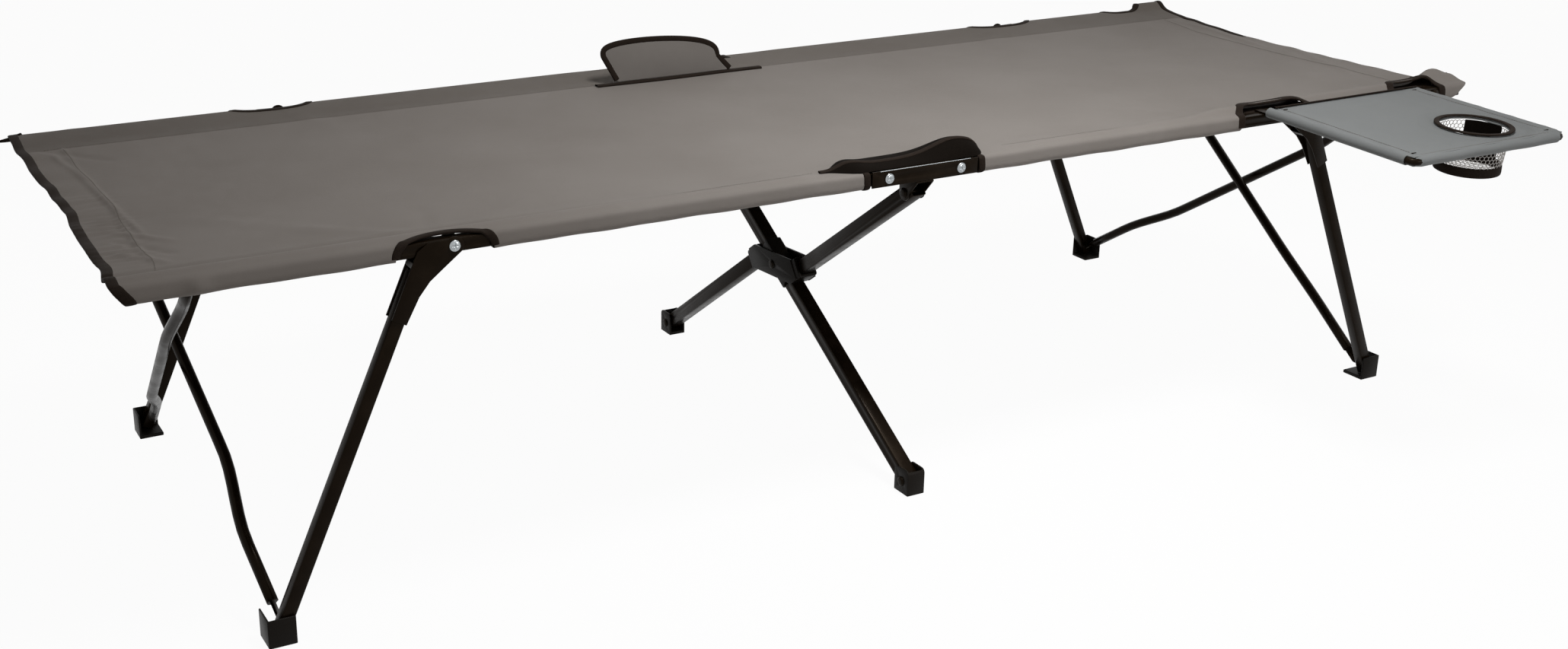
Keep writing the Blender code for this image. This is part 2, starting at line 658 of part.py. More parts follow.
def hinge_line(sx, sy):
    """The inclined axis on which the brace turns in its swivel, as a unit vector at rest."""
    tilted = Vector((0, math.cos(SWIVEL_TILT), sy * math.sin(SWIVEL_TILT)))
    turned_axis = Matrix.Rotation(-CROSS_ANGLE, 3, "Y") @ tilted
    return Vector((sx * turned_axis.x, turned_axis.y, turned_axis.z))


def ease(value):
    value = min(max(value, 0), 1)
    return value * value * (3 - 2 * value)


def make_brace(sx, sy, place, foot_place):
    """A swivel on the rail end and the joggled brace that runs from it to the opposite shoe."""
    rail_end, foot_end = brace_ends(sx, sy)
    axis = hinge_line(sx, sy)
    along = (foot_end - rail_end).normalized()
    length = (foot_end - rail_end).length
    flat = BRACE_TAB_THICKNESS

    start, stop = BRACE_TAB * 0.8, length - BRACE_TAB * 0.8
    steps = 36
    points = []
    for i in range(steps + 1):
        distance = start + (stop - start) * i / steps
        span = JOGGLE_END - JOGGLE_START
        rise = ease((distance - JOGGLE_START) / span)
        fall = ease((length - JOGGLE_START - distance) / span)
        points.append(rail_end + along * distance + axis * BRACE_JOGGLE * min(rise, fall))
    brace = tube_along(f"brace_{foot_place}", points, BRACE_RADIUS)
    ends = ((rail_end, along, BRACE_EYE_RADIUS), (foot_end, -along, BRACE_FOOT_EYE_RADIUS))
    for place_at, inward, radius in ends:
        tab = box(f"{brace.name}_tab", (BRACE_TAB, 2 * radius, flat))
        tab.matrix_world = axes(place_at + inward * BRACE_TAB / 2, inward, axis)
        combine(brace, tab, "UNION")
        eye = rod(f"{brace.name}_eye", radius, flat)
        eye.matrix_world = axes(place_at, inward, axis)
        combine(brace, eye, "UNION")
    reach = flat / 2 + GAP + SWIVEL_LUG + 0.001
    pin = rod(f"{brace.name}_pin", BRACE_PIN_RADIUS, reach)
    pin.matrix_world = axes(rail_end - axis * reach / 2, along, axis)
    combine(brace, pin, "UNION")
    add(brace, STEEL, f"brace_{foot_place}", Matrix.Identity(4))

    outward = Vector((0, sy, 0))
    face = BRACE_RAIL_INSET - HALF_RAIL
    swivel = rod(f"swivel_{place}", SWIVEL_RADIUS, SWIVEL_PLATE)
    plate_at = rail_end + outward * (face - GAP - SWIVEL_PLATE / 2)
    swivel.matrix_world = axes(plate_at, X, Y)
    shank = rod(f"{swivel.name}_shank", PIN_RADIUS, RAIL_SIDE + 0.004)
    shank.matrix_world = axes(Vector((rail_end.x, sy * RAIL_Y, RAIL_Z)), X, Y)
    combine(swivel, shank, "UNION")
    head = rod(f"{swivel.name}_head", PIN_HEAD_RADIUS, PIN_HEAD_HEIGHT)
    head_y = sy * (RAIL_Y + HALF_RAIL + GAP + PIN_HEAD_HEIGHT / 2)
    head.matrix_world = axes(Vector((rail_end.x, head_y, RAIL_Z)), X, Y)
    combine(swivel, head, "UNION")
    sunk = -(flat / 2 + GAP + SWIVEL_LUG / 2)
    lug = rod(f"{swivel.name}_lug", BRACE_EYE_RADIUS, SWIVEL_LUG)
    lug.matrix_world = axes(rail_end + axis * sunk, X, axis)
    combine(swivel, lug, "UNION")
    across = (outward - outward.dot(axis) * axis).normalized()
    reach = face - GAP - SWIVEL_PLATE / 2
    strap = box(f"{swivel.name}_strap", (reach, 2 * BRACE_EYE_RADIUS, SWIVEL_LUG))
    strap.matrix_world = axes(rail_end + axis * sunk + across * reach / 2, across, axis)
    combine(swivel, strap, "UNION")
    cut_hole(swivel, rail_end + axis * sunk, axis, BRACE_PIN_RADIUS + HOLE_CLEARANCE, 0.006)
    add(swivel, STEEL, f"swivel_{place}", swivel.matrix_world.copy())


def bed_section():
    """The sheet and its two sleeves as loops in the plane across the bed."""
    sleeve = HALF_RAIL + GAP
    skin = sleeve + CLOTH
    corner = TUBE_CORNER + CLOTH
    outer = []
    for sy in (1, -1):
        y = sy * RAIL_Y
        up = [(y - sy * skin, RAIL_Z + sleeve), (y - sy * skin, RAIL_Z - skin)]
        low = arc((RAIL_Y + skin - corner, RAIL_Z - skin + corner), corner, 270, 360, 3)
        high = arc((RAIL_Y + skin - corner, RAIL_Z + skin - corner), corner, 0, 90, 3)
        loop = up + [(sy * u, v) for u, v in low + high]
        outer += loop if sy == 1 else loop[::-1]
    holes = []
    for sy in (-1, 1):
        square = rounded_square(2 * sleeve, TUBE_CORNER)
        holes.append([(sy * RAIL_Y + u, RAIL_Z + v) for u, v in square])
    return [outer] + holes


def make_bed(sx, end):
    """One half of the bed cloth, with its rail sleeves cut away where metal shows."""
    body = f"rail_near_{end}"
    inner, outer = PIN_X + GAP, CLOTH_HALF_LENGTH
    cloth = outline(f"bed_cloth_{end}", bed_section(), outer - inner)
    cloth.matrix_world = axes(Vector((sx * (inner + outer) / 2, 0, 0)), Y, X)
    edge = RAIL_Y - HALF_RAIL - GUSSET_CLEARANCE - CHANNEL_WALL - GAP
    skin = HALF_RAIL + GAP + CLOTH
    for sy in SIDES:
        cuts = SLEEVE_CUTS[sx, sy] + [(0, SLEEVE_START)]
        for first, last in cuts:
            xs = sorted((sx * first, sx * last))
            ys = sorted((sy * (edge - 0.001), sy * (RAIL_Y + 0.05)))
            cut_box(cloth, (xs[0], ys[0], RAIL_Z - 5 * skin), (xs[1], ys[1], RAIL_Z + 5 * skin))
        if not any(first < RAIL_END_X < last for first, last in SLEEVE_CUTS[sx, sy]):
            xs = sorted((sx * (RAIL_END_X - SWIVEL_SLOT_HALF), sx * (RAIL_END_X + SWIVEL_SLOT_HALF)))
            ys = sorted((sy * (RAIL_Y - 2 * skin), sy * (RAIL_Y + 2 * skin)))
            top = RAIL_Z + HALF_RAIL + 0.0014
            cut_box(cloth, (xs[0], ys[0], RAIL_Z - HALF_RAIL - 0.0014), (xs[1], ys[1], top))
    hollow = [(0.05, RAIL_Y * 2), (0.05, -RAIL_Y * 2)]
    for i in range(13):
        y = RAIL_Y * 1.2 * (i / 6 - 1)
        hollow.append((-CLOTH_END_HOLLOW * math.cos(y / (RAIL_Y * 1.2) * math.pi / 2), y))
    ender = outline(f"{cloth.name}_end", [[(sx * u, v) for u, v in hollow]], 0.2)
    ender.location = (sx * outer, 0, RAIL_Z)
    combine(cloth, ender, "DIFFERENCE")
    add(cloth, CLOTH_GREY, body, cloth.matrix_world.copy())


def make_bed_middle():
    """The strip of cloth between the two hinge channels."""
    edge = RAIL_Y - HALF_RAIL - GUSSET_CLEARANCE - CHANNEL_WALL - GAP - 0.001
    strip = box("bed_cloth_middle", (2 * (PIN_X - GAP), 2 * edge, CLOTH))
    add(strip, CLOTH_GREY, "centre_near", Matrix.Translation((0, 0, CLOTH_TOP - CLOTH / 2)))


def flap_sheet(name, place, across, down):
    """A D-shaped sheet from a grid: place(u, v) gives each point, and Solidify its thickness."""
    shape = bmesh.new()
    rows = [
        [shape.verts.new(place(i / across, j / down)) for j in range(down + 1)]
        for i in range(across + 1)
    ]
    for i in range(across):
        for j in range(down):
            corners = (rows[i][j], rows[i + 1][j], rows[i + 1][j + 1], rows[i][j + 1])
            shape.faces.new(corners)
    mesh = bpy.data.meshes.new(name)
    shape.to_mesh(mesh)
    shape.free()
    sheet = bpy.data.objects.new(name, mesh)
    wall = sheet.modifiers.new("thickness", "SOLIDIFY")
    wall.thickness = FLAP_THICKNESS
    wall.offset = -1
    return sheet


def make_flaps():
    """The near flap lies rumpled over its hinge, and the far flap stands up from the deck."""
    rest = RAIL_Z + HALF_RAIL + GUSSET_CLEARANCE + CHANNEL_WALL + 2 * GAP

    def near(u, v):
        x = NEAR_FLAP_X[0] + (NEAR_FLAP_X[1] - NEAR_FLAP_X[0]) * u
        y = NEAR_FLAP_INNER_Y + (NEAR_FLAP_OUTER_Y - NEAR_FLAP_INNER_Y) * v
        swell = math.exp(-(((x - NEAR_FLAP_HIGH_X) / NEAR_FLAP_HIGH_HALF) ** 2))
        ridge = NEAR_FLAP_LOW_RIDGE * min(1, 12 * u, 12 * (1 - u)) + NEAR_FLAP_HIGH_RIDGE * swell
        return (x, y, rest + ridge * math.sin(math.pi * v))

    def far(u, v):
        low_x = FAR_FLAP_X[0] + (FAR_FLAP_X[1] - FAR_FLAP_X[0]) * u
        left, right = FAR_FLAP_ARCH_X
        high_x = (left + right) / 2 - (right - left) / 2 * math.cos(math.pi * u)
        shoulder = FAR_FLAP_SHOULDERS[0] + (FAR_FLAP_SHOULDERS[1] - FAR_FLAP_SHOULDERS[0]) * u
        height = v * (shoulder + FAR_FLAP_CROWN * abs(math.sin(math.pi * u)) ** 0.6)
        x = low_x + (high_x - low_x) * v
        low = CLOTH_TOP + GAP + FAR_FLAP_LEAN * FLAP_THICKNESS
        return (x, FAR_FLAP_BASE_Y + FAR_FLAP_LEAN * height, low + height)

    add(flap_sheet("hinge_flap_near", near, 16, 6), BINDING, "centre_near")
    add(flap_sheet("hinge_flap_far", far, 16, 5), CLOTH_GREY, "centre_far")


def make_table():
    """A rod frame with cloth across it and a hanging net cup, turned on two hooks over the rail."""
    width = TABLE_X[1] - TABLE_X[0]
    middle = (TABLE_X[0] + TABLE_X[1]) / 2
    table = Matrix.Translation((middle, TABLE_INNER_Y, TABLE_INNER_Z))
    table = table @ Matrix.Rotation(TABLE_DROOP, 4, "X")

    corner = TABLE_CORNER
    across, reach = width / 2 - corner, TABLE_REACH - corner
    loop = arc((across, -corner), corner, 0, 90, 4) + arc((-across, -corner), corner, 90, 180, 4)
    loop += arc((-across, -reach), corner, 180, 270, 4) + arc((across, -reach), corner, 270, 360, 4)
    frame_points = [(x, y, 0) for x, y in loop]
    frame = tube_along("table_frame", frame_points, TABLE_ROD_RADIUS, closed=True)
    add(frame, STEEL, "table", table)

    inset = TABLE_ROD_RADIUS + GAP
    half = width / 2 - inset
    far_edge = inset - TABLE_REACH
    bend = TABLE_CORNER - inset
    notch = 2 * GAP + HOOK_PLATE + inset
    edge = arc((half - bend, -inset - bend), bend, 0, 90, 2)
    for x in reversed(HOOK_X):
        centre = x - middle
        reach = HOOK_WIDTH / 2 + 0.001
        edge += [(centre + reach, -inset), (centre + reach, -notch)]
        edge += [(centre - reach, -notch), (centre - reach, -inset)]
    edge += arc((bend - half, -inset - bend), bend, 90, 180, 2)
    edge += arc((bend - half, far_edge + bend), bend, 180, 270, 2)
    edge += arc((half - bend, far_edge + bend), bend, 270, 360, 2)
    cup_at = (CUP_X - middle, -CUP_REACH)
    hole = arc(cup_at, CUP_RADIUS, 0, 360 - 360 / 24, 23)
    cloth = outline("table_cloth", [edge, hole], TABLE_CLOTH)
    add(cloth, TABLE_GREY, "table", table)

    half_cloth = TABLE_CLOTH / 2
    under = -half_cloth - GAP
    bottom = under - CUP_DEPTH
    foot_radius = CUP_RADIUS - CUP_TAPER
    profile = [
        (CUP_RADIUS - CUP_WALL, under),
        (CUP_RADIUS + CUP_FLANGE, under),
        (CUP_RADIUS + CUP_FLANGE, under - CUP_WALL),
        (CUP_RADIUS, under - CUP_WALL),
        (foot_radius, bottom),
        (0, bottom),
        (0, bottom + CUP_WALL),
        (foot_radius - CUP_WALL, bottom + CUP_WALL),
        (CUP_RADIUS - CUP_WALL, under),
    ]
    cup = turned("cup_net", profile[1:-1] + [profile[0], profile[1]], 24)
    add(cup, NET, "table", table @ Matrix.Translation((*cup_at, 0)))

    over = half_cloth + GAP
    ring_profile = [
        (CUP_RADIUS + CUP_FLANGE, over + CUP_WALL),
        (CUP_RADIUS + CUP_FLANGE, over),
        (CUP_RADIUS, over),
        (CUP_RADIUS, over + CUP_WALL),
        (CUP_RADIUS + CUP_FLANGE, over + CUP_WALL),
    ]
    ring = turned("cup_rim", ring_profile, 24)
    add(ring, BINDING, "table", table @ Matrix.Translation((*cup_at, 0)))

    bore = TABLE_ROD_RADIUS + GAP
    shell = bore + HOOK_PLATE
    rail_top = RAIL_Z + HALF_RAIL + GAP
    rail_in = -RAIL_Y + HALF_RAIL + GAP
    for number, x in enumerate(HOOK_X):
        centre = (TABLE_INNER_Y, TABLE_INNER_Z)
        profile = [(rail_in + HOOK_PLATE, rail_top + HOOK_PLATE)]
        profile += [(TABLE_INNER_Y + shell, rail_top + HOOK_PLATE)]
        profile += arc(centre, shell, 20, 300, 12)
        profile += arc(centre, bore, 300, 0, 12)
        profile += [(TABLE_INNER_Y + bore, rail_top), (rail_in, rail_top)]
        profile += [(rail_in, RAIL_Z - HALF_RAIL / 2), (rail_in + HOOK_PLATE, RAIL_Z - HALF_RAIL / 2)]
        hook = outline(f"table_hook_{number + 1}", [profile], HOOK_WIDTH)
        add(hook, STEEL, "rail_near_right", axes(Vector((x, 0, 0)), Y, X))


def main():
    make_pivots()
    for sy, side in SIDES.items():
        make_centre(sy, side)
        for sx, end in ENDS.items():
            place = f"{side}_{end}"
            make_rail(sx, sy, place)
            make_end_leg(sx, sy, place)
            make_brace(sx, sy, place, f"{SIDES[-sy]}_{end}")
    make_straight_leg()
    make_jogged_leg()
    make_centre_foot(-1, "near", "foot_near")
    make_centre_foot(1, "far", "foot_far")
    for sx, end in ENDS.items():
        make_bed(sx, end)
    make_bed_middle()
    make_flaps()
    make_table()
    for obj in bpy.data.objects:
        if obj.parent is None:
            obj.location.y += BED_SHIFT


clear_scene()
PARTS = new_collection("camping_cot")
CUTTERS = new_collection("cutters", hidden=True)
BODIES = {}
main()
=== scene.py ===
# %% [markdown]
# # A folding camping cot with a side table
#
# The steel of this cot comes from a imported CAD model, which stays where it is. This lesson builds
# what a photograph of a real cot shows on top of it: woven cloth with sleeves, seams and bindings,
# painted steel tubes, moulded shoes, zinc rivets, and a little table with a net cup holder.
#
# We load the model first. It gives one object for each solid part and one empty for each moving
# body.

# %% Load the frame
import json
import math

import bmesh
import bpy
import numpy as np
from mathutils import Matrix, Vector

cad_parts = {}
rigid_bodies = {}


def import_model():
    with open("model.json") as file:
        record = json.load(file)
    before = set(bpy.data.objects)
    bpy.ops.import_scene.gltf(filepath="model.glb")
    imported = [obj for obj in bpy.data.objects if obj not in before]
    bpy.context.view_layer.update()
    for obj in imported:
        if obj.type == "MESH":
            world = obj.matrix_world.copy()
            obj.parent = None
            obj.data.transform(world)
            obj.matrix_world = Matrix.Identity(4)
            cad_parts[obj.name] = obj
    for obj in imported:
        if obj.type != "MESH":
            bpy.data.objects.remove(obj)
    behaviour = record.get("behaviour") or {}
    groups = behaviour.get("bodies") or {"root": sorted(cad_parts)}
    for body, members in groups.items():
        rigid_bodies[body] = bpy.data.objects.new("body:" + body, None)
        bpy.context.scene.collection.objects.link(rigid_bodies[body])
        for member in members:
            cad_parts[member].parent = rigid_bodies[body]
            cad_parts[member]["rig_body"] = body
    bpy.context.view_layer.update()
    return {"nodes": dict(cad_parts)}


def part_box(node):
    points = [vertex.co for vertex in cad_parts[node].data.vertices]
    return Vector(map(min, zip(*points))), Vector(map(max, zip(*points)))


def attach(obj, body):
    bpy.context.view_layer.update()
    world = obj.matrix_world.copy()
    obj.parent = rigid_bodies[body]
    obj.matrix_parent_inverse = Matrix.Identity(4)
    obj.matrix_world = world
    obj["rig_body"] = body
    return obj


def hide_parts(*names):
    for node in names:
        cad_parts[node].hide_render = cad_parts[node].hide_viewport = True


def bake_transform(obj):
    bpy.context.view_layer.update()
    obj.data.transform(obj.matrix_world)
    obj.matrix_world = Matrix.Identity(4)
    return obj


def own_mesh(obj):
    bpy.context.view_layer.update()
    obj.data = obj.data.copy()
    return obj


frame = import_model()

# %% [markdown]
# The rails carry everything else, so their boxes give us the lines that we build along. The bed is
# symmetrical about a plane between its two rails, and `MIDDLE` is that plane's Y. Every y below is
# counted from it until the last moment. `PIN_X` is how far the pins that join the two halves of a
# rail to its channel stand from the cot's middle. All lengths are in metres.

# %% Measure the rails
near_low, near_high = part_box("rail_near_left")
far_low, far_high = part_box("rail_far_left")
MIDDLE = (near_low.y + far_high.y) / 2
RAIL_Y = (far_low.y + far_high.y) / 2 - MIDDLE
RAIL_Z = (near_low.z + near_high.z) / 2
HALF_RAIL = (near_high.z - near_low.z) / 2
PIN_X = 0.0525
SIDES = {"near": -1, "far": 1}
ENDS = {"left": -1, "right": 1}
print(f"rails at y = {MIDDLE - RAIL_Y:.4f} and {MIDDLE + RAIL_Y:.4f}, z = {RAIL_Z:.4f}")

# %% [markdown]
# ## Surfaces from numbers
#
# Each new piece is a grid of points worked out with numpy. A grid has rows and columns, and every
# four neighbours make a face. Some grids close on themselves, as a tube does, and some have faces
# left out, as cloth has at a cut-out. A UV map in metres goes with cloth, so that its weave keeps
# its true size wherever the cloth bends.


# %% Turn a grid of points into an object
def grid_faces(rows, columns, wrap_rows=False, wrap_columns=False):
    """Each face joins a point to the next row, the next column and the one across from it."""
    index = np.arange(rows * columns).reshape(rows, columns)
    if wrap_rows:
        index = np.vstack([index, index[:1]])
    if wrap_columns:
        index = np.hstack([index, index[:, :1]])
    corners = [index[:-1, :-1], index[1:, :-1], index[1:, 1:], index[:-1, 1:]]
    return np.stack(corners, axis=-1)


def make_object(name, points, faces, uv=None):
    """A mesh object from flat arrays of points and of faces with equal numbers of corners."""
    mesh = bpy.data.meshes.new(name)
    mesh.vertices.add(len(points))
    mesh.vertices.foreach_set("co", np.asarray(points, np.float32).ravel())
    count, sides = faces.shape
    mesh.loops.add(count * sides)
    mesh.loops.foreach_set("vertex_index", faces.astype(np.int32).ravel())
    mesh.polygons.add(count)
    mesh.polygons.foreach_set("loop_start", np.arange(0, count * sides, sides, dtype=np.int32))
    if uv is not None:
        layer = mesh.uv_layers.new(name="UVMap")
        layer.data.foreach_set("uv", np.asarray(uv, np.float32)[faces.ravel()].ravel())
    mesh.update(calc_edges=True)
    mesh.validate()
    mesh.shade_smooth()
    obj = bpy.data.objects.new(name, mesh)
    bpy.context.scene.collection.objects.link(obj)
    return obj


def volume_sign(points, faces):
    """Six times the volume inside the faces, which is negative where they point inwards."""
    a, b, c, d = (points[faces[:, i]] for i in range(4))
    middle = points.mean(axis=0)
    first = np.einsum("ij,ij->i", a - middle, np.cross(b - middle, c - middle))
    second = np.einsum("ij,ij->i", a - middle, np.cross(c - middle, d - middle))
    return float((first + second).sum())


def tube_from_rings(name, rings, closed=False):
    """Rings of points, in order along a path, joined into a closed skin with a fan at each end."""
    count, around = rings.shape[:2]
    points = rings.reshape(-1, 3)
    faces = grid_faces(count, around, wrap_rows=closed, wrap_columns=True).reshape(-1, 4)
    if not closed:
        ends = np.array([rings[0].mean(axis=0), rings[-1].mean(axis=0)])
        first, last = len(points), len(points) + 1
        ring = np.arange(around)
        after = np.roll(ring, -1)
        base = (count - 1) * around
        low = np.stack([np.full(around, first), ring, after, after], axis=1)
        high = np.stack([np.full(around, last), base + after, base + ring, base + ring], axis=1)
        points = np.vstack([points, ends])
        faces = np.vstack([faces, low, high])
    if volume_sign(points, faces) < 0:
        faces = faces[:, ::-1]
    return make_object(name, points, faces)


def finish_mesh(obj):
    """Applies the object's modifiers, so that its mesh is final and can bend with the frame."""
    graph = bpy.context.evaluated_depsgraph_get()
    mesh = bpy.data.meshes.new_from_object(obj.evaluated_get(graph))
    obj.modifiers.clear()
    obj.data = mesh
    mesh.set_sharp_from_angle(angle=math.radians(50))
    return obj


def join(name, pieces):
    """One object from several, in place of them."""
    chosen = {"selected_objects": pieces, "selected_editable_objects": pieces}
    with bpy.context.temp_override(active_object=pieces[0], object=pieces[0], **chosen):
        bpy.ops.object.join()
    pieces[0].name = pieces[0].data.name = name
    return pieces[0]


# %% [markdown]
# Cloth is one grid with a wall on both sides of it.

# %% Make a sheet of cloth
CLOTH = 0.0010


def cloth_object(name, grid, uv, keep=None, thickness=CLOTH):
    """A sheet from a grid of points, with both sides and its rim. keep says which faces stay."""
    rows, columns = grid.shape[:2]
    if keep is None:
        keep = np.ones((rows - 1, columns - 1), bool)
    faces = grid_faces(rows, columns)[keep]
    obj = make_object(name, grid.reshape(-1, 3), faces, uv.reshape(-1, 2))
    wall = obj.modifiers.new("thickness", "SOLIDIFY")
    wall.thickness = thickness
    wall.offset = 0
    return finish_mesh(obj)


# %% [markdown]
# A binding is one outline carried along a path. At each point of the path the outline stands in a
# plane across the path. That plane needs two directions: one we choose, such as the cloth's own
# normal, and one at right angles to both it and the path.


# %% Carry an outline along a path
def along_of(path, closed=False):
    """The direction of travel at each point: from the point before to the point after."""
    if closed:
        step = np.roll(path, -1, axis=0) - np.roll(path, 1, axis=0)
    else:
        step = np.gradient(path, axis=0)
    return step / np.linalg.norm(step, axis=1, keepdims=True)


def carry(name, path, up, outline, closed=False):
    """outline holds (sideways, upwards) pairs, one set for the whole path or one for each point."""
    path, up = np.asarray(path, float), np.broadcast_to(np.asarray(up, float), np.shape(path))
    along = along_of(path, closed)
    up = up - np.einsum("ij,ij->i", up, along)[:, None] * along
    up = up / np.linalg.norm(up, axis=1, keepdims=True)
    side = np.cross(along, up)
    outline = np.asarray(outline, float)
    if outline.ndim == 2:
        outline = np.broadcast_to(outline, (len(path), *outline.shape))
    rings = path[:, None] + outline[..., :1] * side[:, None] + outline[..., 1:] * up[:, None]
    return tube_from_rings(name, rings, closed)


def superellipse(width, height, power=3.0, around=12):
    """A closed outline between an ellipse, with power 2, and a rectangle, with a high power."""
    turn = np.linspace(0, 2 * math.pi, around, endpoint=False)
    across = np.sign(np.cos(turn)) * np.abs(np.cos(turn)) ** (2 / power) * width / 2
    upward = np.sign(np.sin(turn)) * np.abs(np.sin(turn)) ** (2 / power) * height / 2
    return np.stack([across, upward], axis=1)


# %% [markdown]
# Two curves shape nearly everything below: an S-shaped step, to fade something in, and a bell, to
# put a soft hill somewhere. Paths are also measured by their length, so that points can be spread
# evenly along them, or a cut-out can stop the cloth part of the way.


# %% Steps, hills and distances
def smooth(value):
    """An S-shaped step from 0 to 1 as value goes from 0 to 1."""
    value = np.clip(value, 0, 1)
    return value * value * (3 - 2 * value)


def bump(value, middle, width):
    """A smooth hill of height 1."""
    return np.exp(-(((value - middle) / width) ** 2))


def travelled(path):
    """The distance along a path at each of its points."""
    steps = np.linalg.norm(np.diff(path, axis=0), axis=1)
    return np.concatenate([[0], np.cumsum(steps)])


def at_lengths(path, lengths):
    """Points on a path at these distances along it."""
    reached = travelled(path)
    return np.stack([np.interp(lengths, reached, axis) for axis in path.T], axis=-1)


def resample(path, spacing):
    """The same line through points that are this far apart."""
    length = travelled(path)[-1]
    count = max(3, int(round(length / spacing)) + 1)
    return at_lengths(path, np.linspace(0, length, count))


# %% [markdown]
# ## Finishes
#
# A material here is a Principled shader whose colour, roughness and bump come from procedural
# textures. Real coated cloth has three scales: a weave of less than a millimetre, faint mottling
# over a few centimetres, and large soft shading. Painted steel has fine orange peel. The helper
# below adds one node and links its inputs, which keeps each recipe short.


# %% Helpers for node recipes
def new_material(name):
    material = bpy.data.materials.new(name)
    material.use_nodes = True
    tree = material.node_tree
    return material, tree, tree.nodes["Principled BSDF"]


def add_node(tree, kind, links=(), **settings):
    """Adds a node, sets its properties, and fills each input from a number or another socket."""
    node = tree.nodes.new(kind)
    for key, value in settings.items():
        setattr(node, key, value)
    for socket, value in dict(links).items():
        if isinstance(value, bpy.types.NodeSocket):
            tree.links.new(value, node.inputs[socket])
        else:
            node.inputs[socket].default_value = value
    return node


def maths(tree, operation, first, second=0.0):
    return add_node(tree, "ShaderNodeMath", {0: first, 1: second}, operation=operation).outputs[0]


def noise(tree, vector, scale, detail=3.0, roughness=0.5):
    links = {"Vector": vector, "Scale": scale, "Detail": detail, "Roughness": roughness}
    return add_node(tree, "ShaderNodeTexNoise", links).outputs["Fac"]


def blend_colours(tree, factor, first, second):
    node = add_node(tree, "ShaderNodeMix", {0: factor}, data_type="RGBA")
    for socket, colour in ((node.inputs[6], first), (node.inputs[7], second)):
        if isinstance(colour, bpy.types.NodeSocket):
            tree.links.new(colour, socket)
        else:
            socket.default_value = (*colour, 1)
    return node.outputs[2]


def span(tree, value, low, high, new_low=0.0, new_high=1.0):
    """Maps value from one range to another, and holds it inside the new range."""
    links = {"Value": value, "From Min": low, "From Max": high}
    links |= {"To Min": new_low, "To Max": new_high}
    return add_node(tree, "ShaderNodeMapRange", links).outputs[0]


# %% [markdown]
# Woven cloth is two sets of threads that pass over and under each other. The height of the warp is
# a sine across the cloth, switched on and off by the sine along it, and the weft fills the other
# half. The photograph shows a plain weave of coated polyester that looks smooth from a step away,
# so the bump is shallow and the mottling faint.


# %% Woven polyester
THREAD_PITCH = 0.00075


def roughen(tree, shader, height, distance, strength):
    """Bump from a height between 0 and 1, which stands for this distance in metres."""
    links = {"Height": height, "Distance": distance, "Strength": strength}
    tree.links.new(add_node(tree, "ShaderNodeBump", links).outputs[0], shader.inputs["Normal"])


def woven(name, dark, light):
    """Cloth that reads its UV map in metres: the pitch is the distance from thread to thread."""
    material, tree, shader = new_material(name)
    uv = add_node(tree, "ShaderNodeTexCoord").outputs["UV"]
    split = add_node(tree, "ShaderNodeSeparateXYZ", {0: uv})
    turn = 2 * math.pi / THREAD_PITCH
    across = maths(tree, "SINE", maths(tree, "MULTIPLY", split.outputs[0], turn))
    along = maths(tree, "SINE", maths(tree, "MULTIPLY", split.outputs[1], turn))
    threads = maths(tree, "MULTIPLY", across, along)
    object_space = add_node(tree, "ShaderNodeTexCoord").outputs["Object"]
    broad = noise(tree, object_space, 5.0, 4.0, 0.55)
    medium = noise(tree, object_space, 45.0, 3.0, 0.6)
    fine = noise(tree, uv, 900.0, 2.0, 0.7)
    tone = maths(tree, "MULTIPLY", broad, 0.55)
    tone = maths(tree, "ADD", tone, maths(tree, "MULTIPLY", medium, 0.25))
    tone = maths(tree, "ADD", tone, maths(tree, "MULTIPLY", fine, 0.20))
    colour = blend_colours(tree, span(tree, tone, 0.3, 0.7), dark, light)
    weave_shade = maths(tree, "MULTIPLY_ADD", threads, 0.04)
    weave_shade.node.inputs[2].default_value = 0.97
    shaded = add_node(tree, "ShaderNodeVectorMath", {0: colour}, operation="SCALE")
    tree.links.new(weave_shade, shaded.inputs["Scale"])
    tree.links.new(shaded.outputs[0], shader.inputs["Base Color"])
    height = maths(tree, "ADD", threads, maths(tree, "MULTIPLY", medium, 1.5))
    roughen(tree, shader, height, 0.00006, 0.7)
    tree.links.new(span(tree, medium, 0.3, 0.7, 0.66, 0.78), shader.inputs["Roughness"])
    shader.inputs["Specular IOR Level"].default_value = 0.15
    shader.inputs["Sheen Weight"].default_value = 0.05
    shader.inputs["Sheen Roughness"].default_value = 0.5
    return material


BED_CLOTH = woven("grey_polyester", (0.168, 0.152, 0.138), (0.214, 0.198, 0.184))
# A darker copy of the bed cloth: painted shade for the far sleeve and its strip.
SHADED_SLEEVE_CLOTH = woven("shaded_grey_polyester", (0.108, 0.095, 0.083), (0.138, 0.125, 0.112))
FLAP_CLOTH = woven("flap_grey_polyester", (0.138, 0.126, 0.116), (0.174, 0.162, 0.150))
TABLE_CLOTH = woven("blue_grey_polyester", (0.152, 0.162, 0.163), (0.192, 0.202, 0.203))
